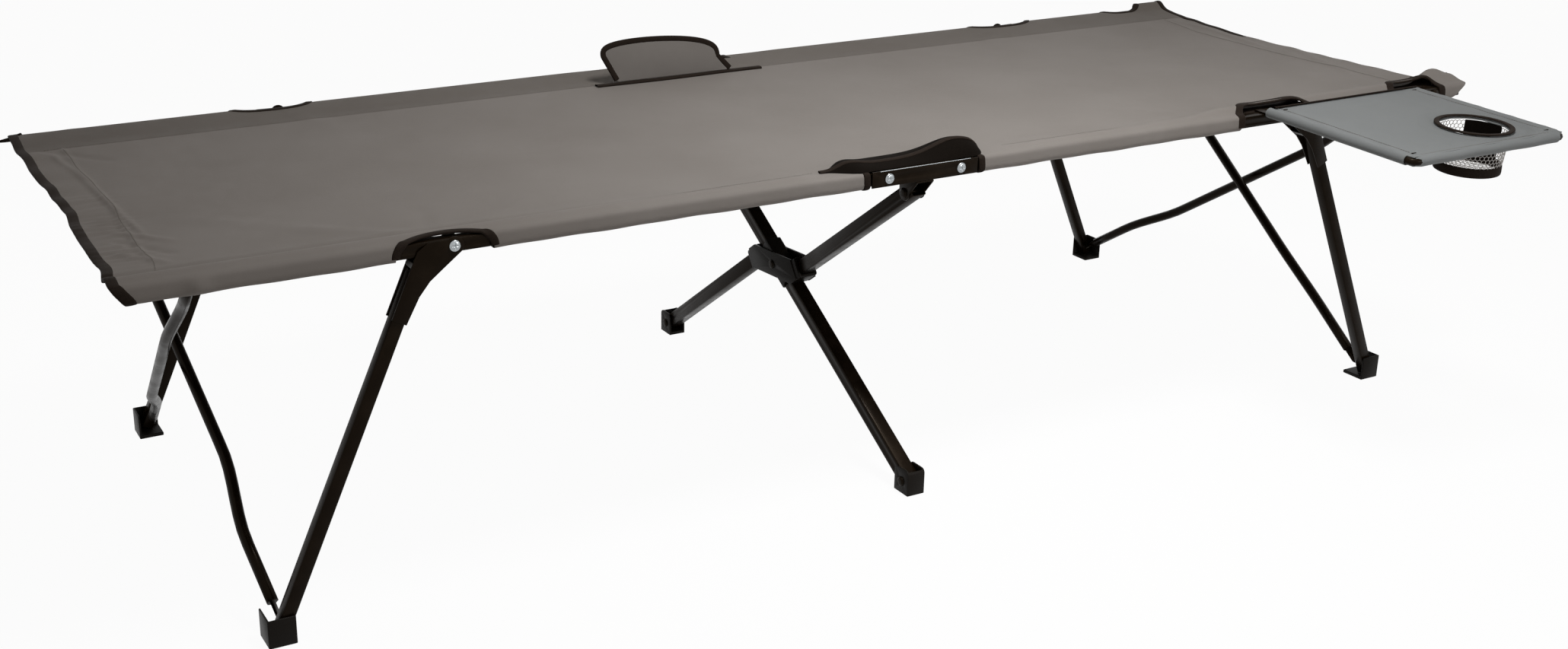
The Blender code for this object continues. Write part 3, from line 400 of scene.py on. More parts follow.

# %% [markdown]
# The bindings are a narrow ribbed tape, nearly black and slightly brown. They have no UV map, so
# the ribs are a fine noise, and the colour varies just enough to look like thread. The near flap
# lies in its own shade, which is painted into it as a blacker and duller cloth still. The same
# cloth makes a black panel in the cup holder. The net's thread is pale, as daylight comes through
# it.


# %% Tape, net and thread
def dull(name, dark, light, scale, depth, roughness, gloss=0.07):
    """A dull finish: two colours mixed by noise, with the same noise as its bump."""
    material, tree, shader = new_material(name)
    place = add_node(tree, "ShaderNodeTexCoord").outputs["Object"]
    grain = noise(tree, place, scale, 4.0, 0.65)
    colour = blend_colours(tree, span(tree, grain, 0.3, 0.7), dark, light)
    tree.links.new(colour, shader.inputs["Base Color"])
    roughen(tree, shader, grain, depth, 0.8)
    shader.inputs["Roughness"].default_value = roughness
    shader.inputs["Specular IOR Level"].default_value = gloss
    return material


dark, light = (0.0080, 0.0050, 0.0034), (0.0180, 0.0125, 0.0090)
BINDING = dull("black_binding_tape", dark, light, 700.0, 0.0002, 0.75)
# Near-black and dull: painted shade on the near flap, and the black cloth of the cup holder's
# panel.
dark, light = (0.0030, 0.0022, 0.0016), (0.0065, 0.0048, 0.0036)
BLACK_CLOTH_AND_FLAP_SHADE = dull("flap_shade_and_black_cloth", dark, light, 900.0, 0.0001, 0.80, 0.02)
dark, light = (0.0060, 0.0046, 0.0034), (0.0110, 0.0088, 0.0068)
MOULDED = dull("moulded_black", dark, light, 1400.0, 0.00006, 0.42)
NET = dull("net_thread", (0.34, 0.33, 0.32), (0.60, 0.58, 0.56), 500.0, 0.0002, 0.7)

# %% [markdown]
# Powder coat is a thick black paint with a faint orange peel, slightly brown, and lighter where
# parts rub. Its gloss is kept low here: in an all-white room a glossy tube shows the room and
# turns grey, and in the photograph the tubes stay black. Zinc is a metal, so its colour is all
# reflection.


# %% Powder coat and zinc
def painted(name, colour):
    material, tree, shader = new_material(name)
    place = add_node(tree, "ShaderNodeTexCoord").outputs["Object"]
    peel = noise(tree, place, 1100.0, 2.0, 0.5)
    smudge = noise(tree, place, 38.0, 4.0, 0.6)
    lighter = tuple(c * 1.6 + 0.0015 for c in colour)
    worn = blend_colours(tree, span(tree, smudge, 0.45, 0.75), colour, lighter)
    tree.links.new(worn, shader.inputs["Base Color"])
    tree.links.new(span(tree, smudge, 0.3, 0.7, 0.23, 0.40), shader.inputs["Roughness"])
    roughen(tree, shader, peel, 0.00003, 0.5)
    shader.inputs["Specular IOR Level"].default_value = 0.06
    shader.inputs["Specular Tint"].default_value = (1.0, 0.80, 0.62, 1)
    shader.inputs["Coat Weight"].default_value = 0.012
    shader.inputs["Coat Roughness"].default_value = 0.12
    return material


def plated(name):
    material, tree, shader = new_material(name)
    place = add_node(tree, "ShaderNodeTexCoord").outputs["Object"]
    cloud = noise(tree, place, 420.0, 4.0, 0.6)
    grey = blend_colours(tree, cloud, (0.24, 0.26, 0.28), (0.46, 0.48, 0.48))
    tree.links.new(grey, shader.inputs["Base Color"])
    tree.links.new(span(tree, cloud, 0.3, 0.7, 0.16, 0.36), shader.inputs["Roughness"])
    shader.inputs["Metallic"].default_value = 1.0
    return material


PAINT = painted("black_powder_coat", (0.0058, 0.0034, 0.0016))
ZINC = plated("bright_zinc")

# %% [markdown]
# The solids of steel and plastic already have the right shape, and get their finish here. Those
# that only stand for cloth or net are replaced further on. `dress` is what each new piece goes
# through: it sets the material, the body that the piece moves with, and the solids that it takes
# the place of.

# %% Give the steel its finish
MOULDED_PARTS = ("cross_sleeve", "cross_hub", "shoe", "centre_foot_near", "centre_foot_far")
for name, node in frame["nodes"].items():
    finish = PAINT
    if name.startswith(MOULDED_PARTS):
        finish = MOULDED
    if name.startswith(("knuckle_rivet", "rail_pin")):
        finish = ZINC
    node.data.materials.clear()
    node.data.materials.append(finish)
print(len(frame["nodes"]), "nodes have a finish")


def dress(obj, material, body, replaces=()):
    """Gives a new piece its material, the body it moves with and the parts that it stands for."""
    obj.data.materials.clear()
    obj.data.materials.append(material)
    if body:
        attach(obj, body)
    if replaces:
        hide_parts(*replaces)
    return obj


def bind(name, path, up, outline, body, replaces=(), closed=False):
    """A binding tape: an outline carried along a path, in black."""
    tape = carry(name, path, up, outline, closed)
    return dress(tape, BINDING, body, replaces)


# %% [markdown]
# Rolled, pressed and moulded edges are never quite sharp, and the light that they catch is what
# tells the eye that a part is metal. So each CAD part gets a stand-in: a copy with its doubles
# merged and its edges rounded by a fraction of a millimetre. Round parts only get smooth shading.

# %% Round the edges of the steel and of the moulded parts
ROUNDING = {
    0.0016: ("shoe", "centre_foot_near", "centre_foot_far"),
    0.0009: ("cross_hub",),
    0.0007: ("cross_sleeve",),
    0.0005: ("rail_near", "rail_far", "end_leg", "centre_leg_to", "centre_leg_from"),
    0.0004: ("gusset", "hinge_channel", "centre_leg_bracket"),
    0.0: ("brace", "swivel", "table_hook", "table_frame"),
}
SMALLEST_EDGE = 0.000002


def rounded(name, width):
    """A stand-in for a CAD node, with its edges rounded to this width, or only shaded smooth."""
    node = frame["nodes"][name]
    shape = bmesh.new()
    shape.from_mesh(node.data)
    bmesh.ops.remove_doubles(shape, verts=shape.verts, dist=SMALLEST_EDGE)
    if width:
        flat = math.radians(1)
        bmesh.ops.dissolve_limit(shape, angle_limit=flat, verts=shape.verts, edges=shape.edges)
        folds = [edge for edge in shape.edges if len(edge.link_faces) == 2]
        sharp = [edge for edge in folds if edge.calc_face_angle() > math.radians(40)]
        how = {"segments": 2, "profile": 0.5, "affect": "EDGES", "clamp_overlap": True}
        bmesh.ops.bevel(shape, geom=sharp, offset=width, **how)
    mesh = bpy.data.meshes.new(f"{name}_rounded")
    shape.to_mesh(mesh)
    shape.free()
    mesh.shade_smooth()
    mesh.set_sharp_from_angle(angle=math.radians(38))
    obj = bpy.data.objects.new(mesh.name, mesh)
    bpy.context.scene.collection.objects.link(obj)
    finish = node.data.materials[0]
    return dress(obj, finish, node["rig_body"], [name])


for name in frame["nodes"]:
    for width, starts in ROUNDING.items():
        if name.startswith(starts):
            rounded(name, width)

# %% [markdown]
# A zinc rivet has a low dome with a cross pressed into it. Its rings of points lie on a quarter
# circle that is flattened to the head's height, and the cross sinks the points near two lines. The
# cross is turned a little from the direction of the rail, as on a driven rivet.


# %% Domed rivets
DOME, SHANK, CROSS_TURN = 0.0026, 0.0030, 0.4
ARM_WIDTH, ARM_LENGTH, ARM_DEPTH = 0.0007, 0.0036, 0.0011


def domed_rivet(name):
    """Rings from one head's middle to its rim, to the shank, and back out over the other head."""
    low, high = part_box(name)
    head, middle, half = (high.x - low.x) / 2, (low + high) / 2, (high.y - low.y) / 2
    turn = np.linspace(0.06, math.pi / 2, 14)
    radius = np.concatenate([head * np.sin(turn), [head, SHANK]])[:, None]
    depth = np.concatenate([DOME * (1 - np.cos(turn)), [DOME + 0.0004, DOME + 0.0004]])[:, None]
    around = np.linspace(0, 2 * math.pi, 48, endpoint=False) + CROSS_TURN
    u, v = radius * np.cos(around), radius * np.sin(around)
    arms = np.maximum(np.exp(-((u / ARM_WIDTH) ** 4)), np.exp(-((v / ARM_WIDTH) ** 4)))
    sunk = depth + ARM_DEPTH * arms * smooth((ARM_LENGTH - radius) / 0.0008)
    front = np.stack([middle.x + u, middle.y - half + sunk, middle.z + v], axis=-1)
    back = np.stack([middle.x + u, middle.y + half - sunk, middle.z + v], axis=-1)[::-1]
    rivet = tube_from_rings(f"{name}_domed", np.concatenate([front, back]))
    rivet.data.set_sharp_from_angle(angle=math.radians(60))
    return dress(rivet, ZINC, frame["nodes"][name]["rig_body"], [name])


for name in frame["nodes"]:
    if name.startswith(("knuckle_rivet", "rail_pin")):
        domed_rivet(name)

# %% [markdown]
# ## The bed cloth
#
# The real bed is one sheet of coated polyester. Along each side it is folded round the rail and
# sewn to itself, which makes a sleeve. The far sleeve reaches 7 cm in from the rail, and the near
# one is rolled in tight, so that its seam lies just inside the rail. We build a deck between the
# two seams and a sleeve on each rail, in left and right halves, because each half of the frame
# folds by itself. All the pieces share one height function, so they meet without a step.
#
# The deck dips a few millimetres inside the rails. Close to each end the hem is gathered by its
# binding, so it ripples, and soft creases run in from the corners. A crease is a low ridge along a
# line that fades towards its ends.

# %% The lines that the cloth follows
AROUND_RAIL = HALF_RAIL + 0.0013
TOP = RAIL_Z + AROUND_RAIL
SEAM_Y = {"near": 0.290, "far": 0.243}
DECK_EDGE = {"near": 0.2935, "far": RAIL_Y - HALF_RAIL - 0.0035}
# The near sleeve takes the bed cloth, and the far one the darker copy, which paints its shade.
CLOTH_AND_SHADE_BY_SIDE = {"near": BED_CLOTH, "far": SHADED_SLEEVE_CLOTH}
HALF_LENGTH = 0.958
HEM = 0.052
DIP = 0.0035
RIPPLE, WRINKLE = 0.067, 0.0165

CREASES = [
    # start x, start y, end x, end y, width, height
    (-0.921, 0.215, -0.905, 0.09, 0.0050, 0.0016),
    (-0.908, 0.10, -0.893, -0.15, 0.0045, 0.0018),
    (-0.921, -0.13, -0.870, -0.19, 0.0055, 0.0017),
    (-0.925, -0.165, -0.878, -0.235, 0.0060, -0.0014),
    (-0.935, -0.205, -0.890, -0.262, 0.0060, 0.0015),
    (-0.860, -0.10, -0.700, -0.245, 0.0160, 0.0010),
    (-0.740, -0.215, -0.640, -0.285, 0.0130, 0.0013),
    (-0.560, -0.285, -0.470, -0.215, 0.0130, 0.0010),
    (-0.620, -0.300, -0.600, -0.200, 0.0110, -0.0009),
    (0.905, 0.20, 0.885, 0.02, 0.0060, 0.0016),
    (0.915, -0.02, 0.850, -0.20, 0.0070, 0.0016),
    (0.800, -0.17, 0.640, -0.285, 0.0130, 0.0013),
    (0.930, 0.24, 0.860, 0.13, 0.0080, -0.0014),
    (-0.930, 0.245, -0.860, 0.16, 0.0080, -0.0012),
    (0.480, -0.290, 0.380, -0.180, 0.0150, 0.0009),
    (0.560, 0.290, 0.500, 0.180, 0.0150, 0.0010),
    (-0.600, 0.290, -0.560, 0.170, 0.0150, 0.0009),
]

# %% [markdown]
# Three functions of the place on the bed say where the cloth ends, where slack makes it stand above
# a rail, and where the near seam pulls it down.


# %% Where the cloth ends, puffs up and sinks
def edge_x(sx, y):
    """How far the cloth reaches at each y: past the rails on the left, and less on the right."""
    wave = 0.0011 * np.sin(y * 52.0 + 0.4) * smooth((0.30 - np.abs(y)) / 0.05)
    left = 0.9560 - 0.0050 * bump(y, 0.0, 0.080) + 0.0030 * bump(y, -0.17, 0.045)
    left = left + 0.0075 * smooth((-y - 0.24) / 0.06)
    right = 0.9175 + 0.0285 * smooth((y - 0.08) / 0.25) + 0.0270 * smooth((-y - 0.262) / 0.065)
    return np.where(np.asarray(sx) < 0, left + wave, right + 0.2 * wave)


def puff(x, y):
    """How far slack cloth stands above its rail: most near the hooks and at the right-hand ends."""
    near, right, far_out = np.asarray(y) < 0, np.asarray(x) > 0, np.abs(x)
    by_the_table = smooth((far_out - 0.42) / 0.08)
    height = np.where(near, 0.0042, 0.0008) + 0.0043 * (near & right) * by_the_table
    end = smooth((far_out - 0.868) / 0.034)
    end = end * np.where(near, 1 - 0.9 * smooth((far_out - 0.908) / 0.030), 1)
    height = height + np.where(near, 0.0030, 0.0095) * right * end
    hump = 0.0105 * bump(x, 0.901, 0.022) * bump(y, -0.290, 0.015)
    height = height * smooth((far_out - 0.125) / 0.06)
    middle = np.where(near, 0.3070 - 0.0070 * right * by_the_table, 0.316)
    return height * bump(np.abs(y), middle, 0.0120) + hump


def valley(x, y):
    """The near seam pulls a groove in the cloth, closest to the rail in the middle of the bed."""
    middle = 0.2835 + 0.0160 * bump(np.abs(x), 0.25, 0.26)
    groove = bump(np.abs(y), middle, 0.0055) * (np.asarray(y) < 0)
    return 0.0036 * groove * smooth((np.abs(x) - 0.14) / 0.05)


# %% [markdown]
# They meet in one function, which gives the height of the cloth anywhere on the bed. The hem's own
# ridge and the fine wrinkles at the left end are in it as well.


# %% The height of the cloth
def cloth_height(x, y):
    """The deck's z: a dip inside the rails, ripples along the hems, and the creases."""
    inside = smooth((0.308 - np.abs(y)) / 0.05)
    z = TOP - DIP * inside - 0.002 * smooth((0.26 - np.abs(y)) / 0.26)
    from_edge = edge_x(x, y) - np.abs(x)
    side = np.where(x < 0, 0.0, 1.7)
    ripple = np.sin(y * 2 * math.pi / RIPPLE + 1.3 * np.sin(y * 17 + side) + side)
    amount = bump(from_edge, 0.0, 0.042) * smooth((0.29 - np.abs(y)) / 0.06)
    z = z + np.where(x < 0, 0.0009, 0.0004) * ripple * amount
    fine = np.sin(y * 2 * math.pi / WRINKLE + 2.2 * np.sin(y * 41 + x * 30))
    fine = fine * (0.6 + 0.4 * np.sin(y * 57 + 1))
    amount = bump(y, -0.13, 0.13) * bump(from_edge, 0.034, 0.026)
    z = z + np.where(x < 0, 0.0017, 0.0002) * fine * amount
    hem_ridge = bump(from_edge, HEM, 0.0035) - 0.6 * bump(from_edge, HEM - 0.008, 0.005)
    z = z + 0.0008 * hem_ridge * smooth((0.27 - np.abs(y)) / 0.03)
    free = smooth((0.305 - np.abs(y)) / 0.03)
    for x0, y0, x1, y1, width, height in CREASES:
        length = math.hypot(x1 - x0, y1 - y0)
        ux, uy = (x1 - x0) / length, (y1 - y0) / length
        t = ((x - x0) * ux + (y - y0) * uy) / length
        off = (x - x0) * uy - (y - y0) * ux
        fade = smooth(t / 0.25 + 0.5) * smooth((1 - t) / 0.25 + 0.5)
        z = z + height * bump(off, 0, width) * fade * free
    return z + puff(x, y) - valley(x, y)


# %% [markdown]
# The sleeve's section is a path round the rail: from the seam, over the top, down the outer side,
# under the rail and up the inner side to the underside of the deck. It is laid out by its length,
# so a cut-out can stop the cloth part of the way round.


# %% The path of the sleeve around its rail
TOP_CORNER, LOW_CORNER, SLACK = 0.0042, 0.0058, 0.0009


def corner(u, v, radius, start, end):
    """Part of a circle, from one angle to another."""
    turn = np.radians(np.linspace(start, end, 6))
    return np.stack([u + radius * np.cos(turn), v + radius * np.sin(turn)], axis=1)


def sleeve_section(side):
    """(outward, height above the rail's middle) along the sleeve's outer and its inner half."""
    half, low = AROUND_RAIL, -AROUND_RAIL - SLACK + LOW_CORNER
    outer = [
        [(DECK_EDGE[side] - RAIL_Y, half), (-half, half)],
        corner(half - TOP_CORNER, half - TOP_CORNER, TOP_CORNER, 90, 0),
        [(half + SLACK * 0.7, 0.0)],
        corner(half + SLACK - LOW_CORNER, low, LOW_CORNER, 0, -45),
    ]
    inner = [
        outer[-1][-1:],
        corner(half + SLACK - LOW_CORNER, low, LOW_CORNER, -45, -90)[1:],
        corner(-half + LOW_CORNER, low, LOW_CORNER, -90, -180),
        [(-half - 0.0004, half - 0.0085), (-half - 0.0006, half - 0.0042)],
    ]
    return np.vstack(outer), np.vstack(inner)


OUTER_PATH = {side: sleeve_section(side)[0] for side in SIDES}
INNER_PATH = sleeve_section("near")[1]
OUTER_LENGTH = {side: travelled(path)[-1] for side, path in OUTER_PATH.items()}
INNER_LENGTH = travelled(INNER_PATH)[-1]
print(f"sleeve path {1000 * (OUTER_LENGTH['near'] + INNER_LENGTH):.1f} mm round the near rail")

# %% [markdown]
# Steel shows where the sleeve is cut away: a long gap over the centre hinge, a crescent over each
# leg's knuckle, and one more at each rail end on the right, where a brace is riveted. Each cut-out
# has a first and a last x, how far round the section the cloth still reaches in its middle, and a
# power, which is 2 for an ellipse and higher for squarer corners.

# %% The cut-outs in the sleeves
HINGE_GAP = 0.0805
CUTS = {
    ("left", "near"): [(0.560, 0.672, 0.0235, 2.1)],
    ("left", "far"): [(0.560, 0.672, 0.004, 2.6)],
    ("right", "near"): [(0.511, 0.646, 0.0045, 2.8), (0.798, 0.893, 0.0045, 2.8)],
    ("right", "far"): [(0.545, 0.668, 0.004, 2.6), (0.823, 0.900, 0.004, 2.6)],
}


def sleeve_reach(end, side, x):
    """How far round the outer half the cloth reaches: all the way, less at an arched cut-out."""
    full = OUTER_LENGTH[side]
    reach = np.full_like(x, full)
    for first, last, least, power in CUTS[end, side]:
        t = np.clip((x - first) / (last - first), 0, 1)
        arch = (1 - np.abs(2 * t - 1) ** power) ** (1 / power)
        reach = np.minimum(reach, full - (full - least) * arch)
    return reach


def inside_cut(end, side, x):
    return np.any([(x > first) & (x < last) for first, last, _, _ in CUTS[end, side]], axis=0)


def columns_for(end, side, first, last):
    """x positions along a piece: 5 mm apart, and closer together near its cut-outs."""
    marks = [np.linspace(first, last, int((last - first) / 0.005))]
    for low, high, _, _ in CUTS[end, side]:
        turn = np.linspace(0, math.pi, 41)
        marks.append(low + (high - low) * (1 - np.cos(turn)) / 2)
    x = np.unique(np.round(np.concatenate(marks), 5))
    return x[np.concatenate([[True], np.diff(x) > 0.0006])]


# %% [markdown]
# Now the sleeve itself is a grid: rows run from the seam round the rail, and columns along it.
# Three of the four sleeves have mouths cut on the slant, so that each one's top ends in a point.
# On the left, the cloth swells a little over the swivels that hold the braces.


# %% Work out a sleeve
SLANT = {("right", "near"): 0.030, ("left", "far"): 0.025, ("left", "near"): 0.016}
SWIVEL_X = 0.8787


def end_pull(x):
    """0 along the bed and 1 at its end: how much of the end's shape each column takes."""
    return smooth((np.abs(x) - 0.90) / (HALF_LENGTH - 0.90))


def on_rail(end, side, xs, y, height):
    """The sleeve's height above the rail's middle: a little slack below, and puffed up on top."""
    slack = 0.0006 * np.sin(xs * 61 + SIDES[side]) * np.sin(xs * 23 + ENDS[end])
    slack = slack * (height < 0)
    raised = cloth_height(xs, y) - TOP
    return height + slack + raised * smooth(height / HALF_RAIL)


def sleeve_grid(end, side, x):
    """Points, the faces to keep, a UV map unrolled in metres, and the row where the rail starts."""
    sx, sy = ENDS[end], SIDES[side]
    reach = sleeve_reach(end, side, x)
    band = np.linspace(SEAM_Y[side], DECK_EDGE[side], 4 if side == "near" else 16)[:-1, None]
    outer_share = np.linspace(0, 1, 24)[:, None]
    inner_share = np.linspace(0, 1, 16)[1:, None]
    outer = at_lengths(OUTER_PATH[side], outer_share * reach)
    inner = at_lengths(INNER_PATH, inner_share * np.full_like(x, INNER_LENGTH))
    wrap = np.concatenate([outer, inner], axis=0)
    start = len(band)
    band = np.broadcast_to(band, (start, len(x)))
    y = sy * np.concatenate([band, RAIL_Y + wrap[..., 0]])
    xs = np.broadcast_to(sx * x, y.shape).copy()
    xs += sx * end_pull(x) * (edge_x(sx, y) - HALF_LENGTH)
    z = cloth_height(xs, y)
    z[start:] = RAIL_Z + on_rail(end, side, xs[start:], y[start:], wrap[..., 1])
    turned_down = np.clip((TOP + 0.001 - z) / 0.021, 0, 1)
    turned_down = turned_down * (np.abs(y) > RAIL_Y - HALF_RAIL - 0.003)
    xs -= sx * end_pull(x) * SLANT.get((end, side), 0) * turned_down
    unrolled = np.concatenate([band, DECK_EDGE[side] + outer_share * reach])
    unrolled = np.concatenate([unrolled, unrolled[-1:] + inner_share * INNER_LENGTH])
    uv = np.stack([xs, unrolled], axis=-1)
    over_swivel = 0.0032 * bump(np.abs(xs), SWIVEL_X, 0.011) * bump(z, RAIL_Z, 0.010)
    y = y + sy * over_swivel * (end == "left") * (np.abs(y) > RAIL_Y)
    grid = np.stack([xs, y + MIDDLE, z], axis=-1)
    keep = np.ones((len(y) - 1, len(x) - 1), bool)
    middle = (x[1:] + x[:-1]) / 2
    keep[start + len(outer_share) - 1 :, inside_cut(end, side, middle)] = False
    keep[start:, middle < HINGE_GAP] = False
    return grid, keep, uv, start


# %% [markdown]
# `end_pull` moves the columns near each end to where the cloth stops, so the last column is its
# edge. The grid gets its thickness here, and the near sleeves stand for the CAD's bed cloth.

# %% Build the sleeves
for end, side in CUTS:
    x = columns_for(end, side, PIN_X, HALF_LENGTH)
    x = np.unique(np.concatenate([x, [HINGE_GAP, HINGE_GAP - 0.0001]]))
    grid, keep, uv, _ = sleeve_grid(end, side, x)
    sleeve = cloth_object(f"sleeve_{side}_{end}", grid, uv, keep)
    stands_for = [f"bed_cloth_{end}"] if side == "near" else []
    rail = f"rail_{side}_{end}"
    # On the far side the darker cloth paints the sleeve's shade.
    dress(sleeve, CLOTH_AND_SHADE_BY_SIDE[side], rail, stands_for)

# %% [markdown]
# Between the two hinge pins there is no sleeve, only a strip of cloth from seam to channel.

# %% Build the strips beside the channels
for side, sy in SIDES.items():
    x = np.linspace(-PIN_X, PIN_X, 27)
    y = sy * np.linspace(SEAM_Y[side], DECK_EDGE["far"], 8 if side == "near" else 16)
    xs, ys = np.meshgrid(x, y)
    grid = np.stack([xs, ys + MIDDLE, cloth_height(xs, ys)], axis=-1)
    strip = cloth_object(f"strip_{side}", grid, grid[..., :2])
    slot, stands_for = "grey_polyester_cloth", ["bed_cloth_middle"]
    # The far strip's darker cloth paints its shade.
    dress(strip, CLOTH_AND_SHADE_BY_SIDE[side], f"centre_{side}", stands_for)

# %% [markdown]
# The deck lies between the two seams. It has a left part, a right part and a strip over the
# hinge, so that each half can fold up about its pins.


# %% Build the deck
def deck_grid(sx):
    """Rows across the bed, and columns that stand closer together near the gathered end."""
    rows = np.linspace(-SEAM_Y["near"], SEAM_Y["far"], 108)
    if sx:
        x = np.linspace(PIN_X, HALF_LENGTH, 190)
        gathered = np.linspace(HALF_LENGTH - 0.07, HALF_LENGTH, 34)
        x = np.concatenate([x[x < HALF_LENGTH - 0.071], gathered])
        x = np.unique(np.round(x, 5)) * sx
    else:
        x = np.linspace(-PIN_X, PIN_X, 27)
    y = np.broadcast_to(rows[:, None], (len(rows), len(x)))
    xs = np.broadcast_to(x, y.shape).copy()
    xs += np.sign(xs) * end_pull(xs) * (edge_x(xs, y) - HALF_LENGTH)
    grid = np.stack([xs, y + MIDDLE, cloth_height(xs, y)], axis=-1)
    return grid, np.stack([xs, y], axis=-1)


def draw_in(piece):
    """Gives a piece that spans the deck a mesh of its own."""
    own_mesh(piece)


for end, sx in (("left", -1), ("right", 1), ("middle", 0)):
    deck = cloth_object(f"deck_{end}", *deck_grid(sx))
    body = f"rail_near_{end}" if sx else "centre_near"
    dress(deck, BED_CLOTH, body, [f"bed_cloth_{end}"])
    draw_in(deck)

# %% [markdown]
# ## Bindings
#
# Every raw edge of the cloth is folded into a black tape, 9.5 mm wide, or 12 mm at the left end
# and round the cut-outs by the table. Round each end of the bed the tape follows the gathered hem
# down over the sleeves. It is one outline carried along the last column of each grid, with the
# cloth's own normal as its upward direction, and it reaches a little past the edge. It is cut
# where the cloth is cut, so that it folds with the bed. At the right end it is rolled under, and
# at the far left corner its loose end sticks out in a point.


# %% Tape along an edge
TAPE = superellipse(0.0095, 0.0034)
WIDE_TAPE = superellipse(0.0120, 0.0036)


def facing(path, outward):
    """The direction across both the path and the line outward along the cloth, at each point."""
    across = np.broadcast_to(outward, path.shape)
    up = np.cross(along_of(path), across)
    return up / np.linalg.norm(up, axis=1, keepdims=True)


def end_line(grid, sx):
    """The end column of a cloth grid, moved in so that the tape on it reaches just past the cloth.

    On the right the tape is rolled under the cloth, except near the two corners."""
    line = grid[:, -1].copy()
    line[:, 0] -= sx * (0.0047 if sx < 0 else 0.0040)
    if sx > 0:
        y = line[:, 1] - MIDDLE
        under = smooth((0.10 - y) / 0.05) * smooth((y + 0.262) / 0.02)
        line[:, 2] -= 0.0026 * under
        line[:, 0] -= 0.0020 * under
    return resample(line, 0.003)


for end, sx in ENDS.items():
    outward = np.array([sx, 0.0, 0.0])
    width = WIDE_TAPE if sx < 0 else TAPE
    for side in SIDES:
        x = columns_for(end, side, 0.93, HALF_LENGTH)
        grid, _, _, start = sleeve_grid(end, side, x)
        if (end, side) == ("right", "near"):
            # The mouth of this sleeve isn't bound: its tape ends on the hump of cloth beside it.
            grid = grid[: start + 4]
        line = end_line(grid, sx)
        bind(f"end_tape_{side}_{end}", line, facing(line, outward), width, f"rail_{side}_{end}")
    line = end_line(deck_grid(sx)[0], sx)
    draw_in(bind(f"end_tape_deck_{end}", line, facing(line, outward), width, f"rail_near_{end}"))

root, tip = (-0.940, MIDDLE + 0.322, RAIL_Z + 0.0085), (-0.974, MIDDLE + 0.335, RAIL_Z + 0.0015)
spike = np.linspace(root, tip, 9)
spike[:, 2] -= 0.0012 * np.sin(np.linspace(0, math.pi, 9))
taper = np.linspace(1, 0.12, 9)[:, None, None] ** 0.9
outline = superellipse(0.0115, 0.0090, 2.4, 16) * taper
bind("end_tape_spike", spike, (0, 0.3, 1), outline, "rail_far_left")

# %% [markdown]
# The cut-outs are bound too. Their line runs where the outer half of the sleeve stops, which
# `sleeve_reach` gives for every x. In the two beside the table, the sleeve's inner layer closes
# the view between the seam and the rail, and takes the tape's black as painted shade. At the
# centre hinge each sleeve's mouth has a tape that goes all the way round.


# %% Bind the cut-outs and the sleeve ends
def section_normals(path):
    """Outward normals of the sleeve's section, a quarter turn from its direction of travel."""
    step = np.gradient(path, axis=0)
    step /= np.linalg.norm(step, axis=1, keepdims=True)
    return np.stack([-step[:, 1], step[:, 0]], axis=1)


def on_outer(end, side, x, length):
    """A point of the outer half, this far from the deck's edge, and the normal there."""
    outer, sy = OUTER_PATH[side], SIDES[side]
    both = np.hstack([outer, section_normals(outer)])
    u, v, nu, nv = (np.interp(length, travelled(outer), axis) for axis in both.T)
    y = sy * (RAIL_Y + u)
    place = np.stack([x, MIDDLE + y, RAIL_Z + on_rail(end, side, x, y, v)], axis=1)
    normal = np.stack([np.zeros_like(x), sy * nu, nv], axis=1)
    return place, normal


def line_cut_out(number, first, last, rail):
    """Cloth from the rail's inner edge up to the seam and on, just under the deck."""
    along = np.linspace(first - 0.010, last + 0.010, 40)
    across, xs = np.meshgrid(np.linspace(0, 1.6, 12), along, indexing="ij")
    ys, rise = -0.3095 + 0.0275 * across, np.minimum(across, 1)
    under_deck = cloth_height(xs, np.maximum(ys, -0.282)) - 0.0016
    zs = (1 - rise) * (RAIL_Z + HALF_RAIL - 0.0008) + rise * under_deck
    grid = np.stack([xs, ys + MIDDLE, zs], axis=-1)
    lining = cloth_object(f"shaded_cut_lining_{number}", grid, grid[..., :2])
    # The inner layer takes the tape's black: painted shade inside the opening.
    dress(lining, BINDING, rail)


INSET = 0.0036
for (end, side), cuts in CUTS.items():
    sx, rail, by_the_table = ENDS[end], f"rail_{side}_{end}", (end, side) == ("right", "near")
    for number, (first, last, _, _) in enumerate(cuts, 1):
        turn = np.linspace(0, math.pi, 61)
        x = first + (last - first) * (1 - np.cos(turn)) / 2
        reach = np.maximum(sleeve_reach(end, side, x) - INSET, -0.0005)
        place, normal = on_outer(end, side, sx * x, reach)
        if normal[30] @ (0, 0, 1) < 0:
            normal = -normal
        width = WIDE_TAPE if by_the_table else TAPE
        bind(f"cut_tape_{number}_{side}_{end}", place, normal, width, rail)
        if by_the_table:
            line_cut_out(number, first, last, rail)
    section = np.vstack([OUTER_PATH[side], INNER_PATH[1:]])
    x = np.full(len(section), sx * (HINGE_GAP + INSET))
    y = MIDDLE + SIDES[side] * (RAIL_Y + section[:, 0])
    line = resample(np.stack([x, y, RAIL_Z + section[:, 1]], axis=1), 0.0015)
    bind(f"sleeve_end_tape_{side}_{end}", line, facing(line, (1.0, 0, 0)), TAPE, rail)

# %% [markdown]
# ## The two flaps over the hinges
#
# A flap covers each hinge so that it can't pinch. The near one lies rumpled over its channel, with
# its right part pushed up into a ridge. The far one stands up from the deck as a D of grey cloth
# with a bound edge, sewn along a base strip.

# %% Build the near flap
FLAP_FROM, FLAP_TO = -0.134, 0.096
FLAP_REST = TOP + 0.0012
FLAP_WALL = 0.0012


def bend(piece):
    """Puts the piece's transform into its mesh."""
    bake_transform(piece)


